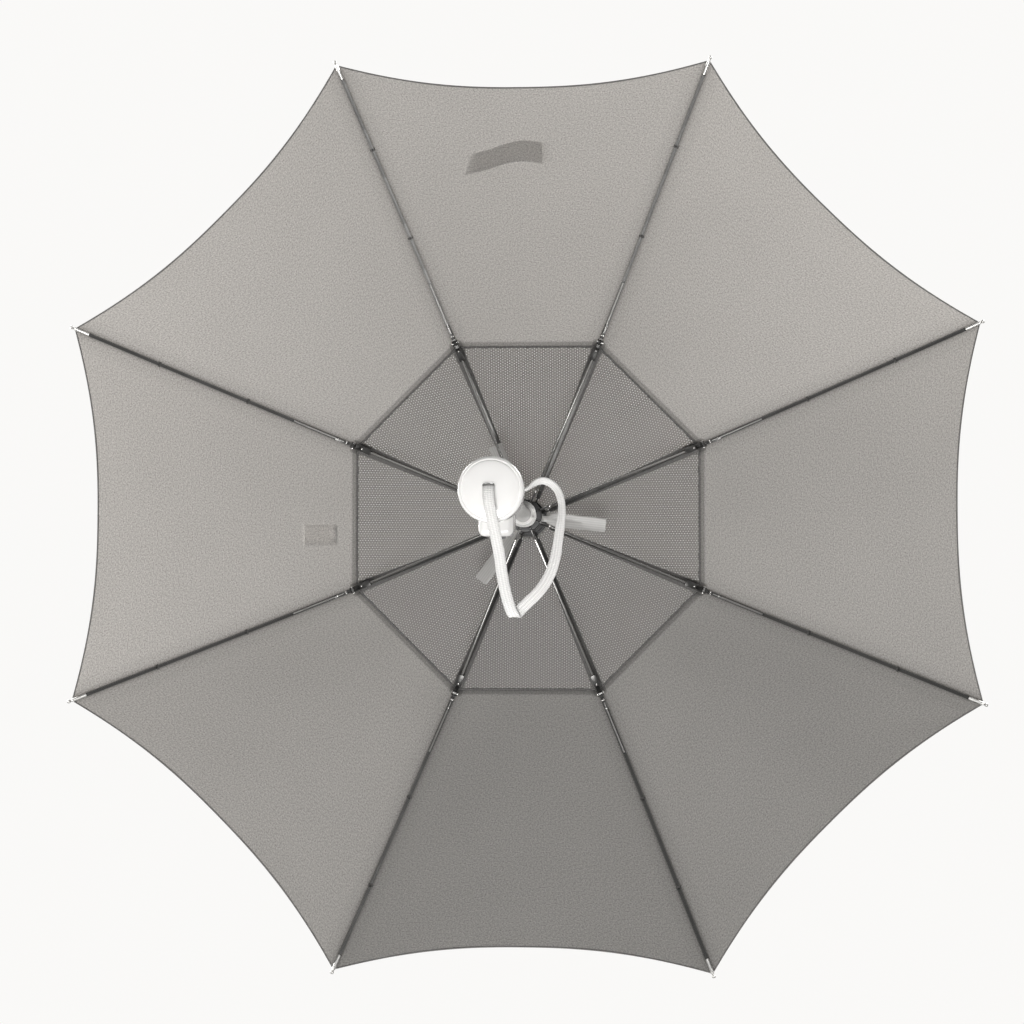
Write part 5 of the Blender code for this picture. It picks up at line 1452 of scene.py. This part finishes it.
def sewn_patch(name, rows):
    """A flat sewn piece on the outside of the cloth through rows of places, thickened and rounded at its edge."""
    count = len(rows[0])
    points = [on_outside(x, z, strap_lift) for row in rows for x, z in row]
    faces = []
    for i in range(len(rows) - 1):
        for j in range(count - 1):
            a = i * count + j
            faces.append((a, a + 1, a + count + 1, a + count))
    mesh = bpy.data.meshes.new(name)
    mesh.from_pydata([tuple(p) for p in points], [], faces)
    uv = mesh.uv_layers.new(name="cut")
    for corner in mesh.loops:
        x, z = rows[corner.vertex_index // count][corner.vertex_index % count]
        uv.data[corner.index].uv = (x + 0.5, z)
    edge = []
    for i in range(len(rows)):
        for j in range(count):
            to_end = min(i, len(rows) - 1 - i) / (len(rows) - 1)
            to_side = min(j, count - 1 - j) / (count - 1)
            reach = (Vector(points[0]) - Vector(points[count * (len(rows) - 1)])).length
            across = (Vector(points[0]) - Vector(points[count - 1])).length
            edge.append(min(to_end * reach, to_side * across))
    mesh.attributes.new("to_edge", "FLOAT", "POINT").data.foreach_set("value", edge)
    piece = bpy.data.objects.new(name, mesh)
    bpy.context.collection.objects.link(piece)
    if sum(face.normal.y for face in mesh.polygons) < 0:
        mesh.flip_normals()
    bpy.ops.object.select_all(action="DESELECT")
    bpy.context.view_layer.objects.active = piece
    thick = piece.modifiers.new("thick", "SOLIDIFY")
    thick.thickness = strap_thick
    thick.offset = 1
    bpy.ops.object.modifier_apply(modifier="thick")
    return round_edges(piece, strap_thick * 0.35, 2, 50)


def strap_material(name, tone, share):
    """The umbrella's cloth laid double: how much light comes through it, and its line of stitches."""
    material, tree, shader = start_material(name, cloth_grey, 0.85)
    grain = place_group(tree, speckle, Map=map_of(tree), Size=0.0012, Depth=0.35)
    stitch = distance_mask(tree, "to_edge", 0.0016, 0.0017)
    stitch_end = distance_mask(tree, "to_edge", 0.0023, 0.0024)
    line = calc(tree, "SUBTRACT", 1.0, calc(tree, "SUBTRACT", stitch, stitch_end))
    strength = calc(tree, "MULTIPLY", grain.outputs["Shade"], calc(tree, "MULTIPLY_ADD", line, 0.3, 0.7))
    tree.links.new(toned(tree, strength, cloth_grey), shader.inputs["Base Color"])
    threads = place_group(tree, weave, Map=map_of(tree), Thread=0.0006)
    relief(tree, shader, threads.outputs["Height"], 0.0001, 0.6)
    lets = tree.nodes.new("ShaderNodeBsdfTranslucent")
    tree.links.new(toned(tree, strength, tone), lets.inputs["Color"])
    both = tree.nodes.new("ShaderNodeMixShader")
    both.inputs["Fac"].default_value = share
    tree.links.new(shader.outputs[0], both.inputs[1])
    tree.links.new(lets.outputs[0], both.inputs[2])
    tree.links.new(both.outputs[0], tree.nodes["Material Output"].inputs["Surface"])
    return material


strap_cloth = strap_material("strap_cloth", (0.86, 0.84, 0.82, 1), 0.72)
patch_cloth = strap_material("patch_cloth", (0.98, 0.97, 0.96, 1), 0.96)
strap_lines = []
for i in range(strap_rows + 1):
    share = i / strap_rows
    x = 0.018 - 0.067 * share
    z = 0.329 + 0.003 * math.sin(math.pi * min(1.0, share * 1.4)) - 0.008 * share**2
    line = []
    for j in range(strap_columns + 1):
        across = j / strap_columns - 0.5
        line.append((x + across * strap_width * 0.4 * share, z + across * strap_width))
    strap_lines.append(line)
closing_strap = sewn_patch("closing_strap", strap_lines)
put_sheet_on_rib(closing_strap, 1, strap_cloth)
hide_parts("closure_strap")
patch_lines = []
for i in range(15):
    x = -0.1964 + 0.0286 * (i / 14 - 0.5)
    patch_lines.append([(x, -0.016 + 0.0191 * (j / 8 - 0.5)) for j in range(9)])
fastener_patch = sewn_patch("fastener_patch", patch_lines)
put_sheet_on_rib(fastener_patch, 4, patch_cloth)
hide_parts("closure_patch")

# Floor and light
# A plain pale studio: soft light from above and behind through the cloth, and two soft lights in front.
floor_height = -0.80
room_light = 0.03
bpy.ops.object.select_all(action="DESELECT")
bpy.ops.mesh.primitive_plane_add(size=4.6, location=(0, -0.7, floor_height))
floor = bpy.context.object
floor.name = "floor"
bpy.ops.object.transform_apply(location=True, rotation=True, scale=True)
floor_paint, tree, shader = start_material("floor_paper", (0.45, 0.45, 0.448, 1), 0.9)
floor_light = tree.nodes.new("ShaderNodeEmission")
floor_light.inputs["Color"].default_value = (1.0, 0.995, 0.982, 1)
floor_path = tree.nodes.new("ShaderNodeLightPath")
floor_mix = tree.nodes.new("ShaderNodeMixShader")
tree.links.new(calc(tree, "MULTIPLY", floor_path.outputs["Is Camera Ray"], 0.85), floor_mix.inputs["Fac"])
tree.links.new(shader.outputs[0], floor_mix.inputs[1])
tree.links.new(floor_light.outputs[0], floor_mix.inputs[2])
tree.links.new(floor_mix.outputs[0], tree.nodes["Material Output"].inputs["Surface"])
floor.data.materials.append(floor_paint)

world = bpy.data.worlds.new("studio")
bpy.context.scene.world = world
world.use_nodes = True
tree = world.node_tree
tree.nodes.clear()
seen = tree.nodes.new("ShaderNodeBackground")
seen.inputs["Color"].default_value = (0.955, 0.948, 0.935, 1)
lit = tree.nodes.new("ShaderNodeBackground")
lit.inputs["Color"].default_value = (1.0, 0.99, 0.975, 1)
lit.inputs["Strength"].default_value = room_light
mirrored = tree.nodes.new("ShaderNodeBackground")
mirrored.inputs["Color"].default_value = (1.0, 0.99, 0.975, 1)
room_way = tree.nodes.new("ShaderNodeTexCoord")
room_parts = tree.nodes.new("ShaderNodeSeparateXYZ")
tree.links.new(room_way.outputs["Generated"], room_parts.inputs[0])
to_front = calc(tree, "MULTIPLY", room_parts.outputs["Y"], -1.0)


def ramp(tree, value, low, high, start, end):
    """A smooth step from one value to another."""
    node = tree.nodes.new("ShaderNodeMapRange")
    node.interpolation_type = "SMOOTHSTEP"
    node.inputs["From Min"].default_value = low
    node.inputs["From Max"].default_value = high
    node.inputs["To Min"].default_value = start
    node.inputs["To Max"].default_value = end
    tree.links.new(value, node.inputs["Value"])
    return node.outputs["Result"]


room_ring = calc(
    tree, "MULTIPLY", ramp(tree, to_front, 0.52, 0.62, 0.0, 0.80), ramp(tree, to_front, 0.76, 0.82, 1.0, 0.0)
)
tree.links.new(
    calc(tree, "ADD", ramp(tree, to_front, -0.25, 0.10, 0.80, 0.14), room_ring), mirrored.inputs["Strength"]
)
path = tree.nodes.new("ShaderNodeLightPath")
room_mix = tree.nodes.new("ShaderNodeMixShader")
tree.links.new(path.outputs["Is Glossy Ray"], room_mix.inputs["Fac"])
tree.links.new(lit.outputs[0], room_mix.inputs[1])
tree.links.new(mirrored.outputs[0], room_mix.inputs[2])
world_mix = tree.nodes.new("ShaderNodeMixShader")
tree.links.new(path.outputs["Is Camera Ray"], world_mix.inputs["Fac"])
tree.links.new(room_mix.outputs[0], world_mix.inputs[1])
tree.links.new(seen.outputs[0], world_mix.inputs[2])
world_out = tree.nodes.new("ShaderNodeOutputWorld")
tree.links.new(world_mix.outputs[0], world_out.inputs["Surface"])


def softbox(name, place, aim, size, power):
    """A square soft light that faces its aim."""
    turn = (Vector(aim) - Vector(place)).to_track_quat("-Z", "Y").to_euler()
    bpy.ops.object.light_add(type="AREA", location=place, rotation=turn)
    lamp = bpy.context.object
    lamp.name = name
    lamp.data.size = size
    lamp.data.energy = power
    lamp.data.color = (1.0, 0.99, 0.975)
    return lamp


canopy_middle = (0, 0.45, 0)
softbox("front_low", (0, -1.1, -0.5), (0, 0.2, 0), 0.5, 16.5)
softbox("back_left", (-1.4, 1.1, 1.2), canopy_middle, 0.8, 19)
softbox("back_right", (1.4, 1.1, 1.2), canopy_middle, 0.8, 40)
softbox("back_side", (-1.8, 0.9, 0.1), canopy_middle, 0.6, 23)
softbox("glint_high", (0.343, -0.55, 0.82), (0.04, 0.48, 0.09), 0.2, 1.1)
softbox("glint_low", (-0.30, -0.48, -0.69), (-0.04, 0.48, -0.09), 0.2, 0.9)

bpy.context.scene.view_settings.view_transform = "Standard"
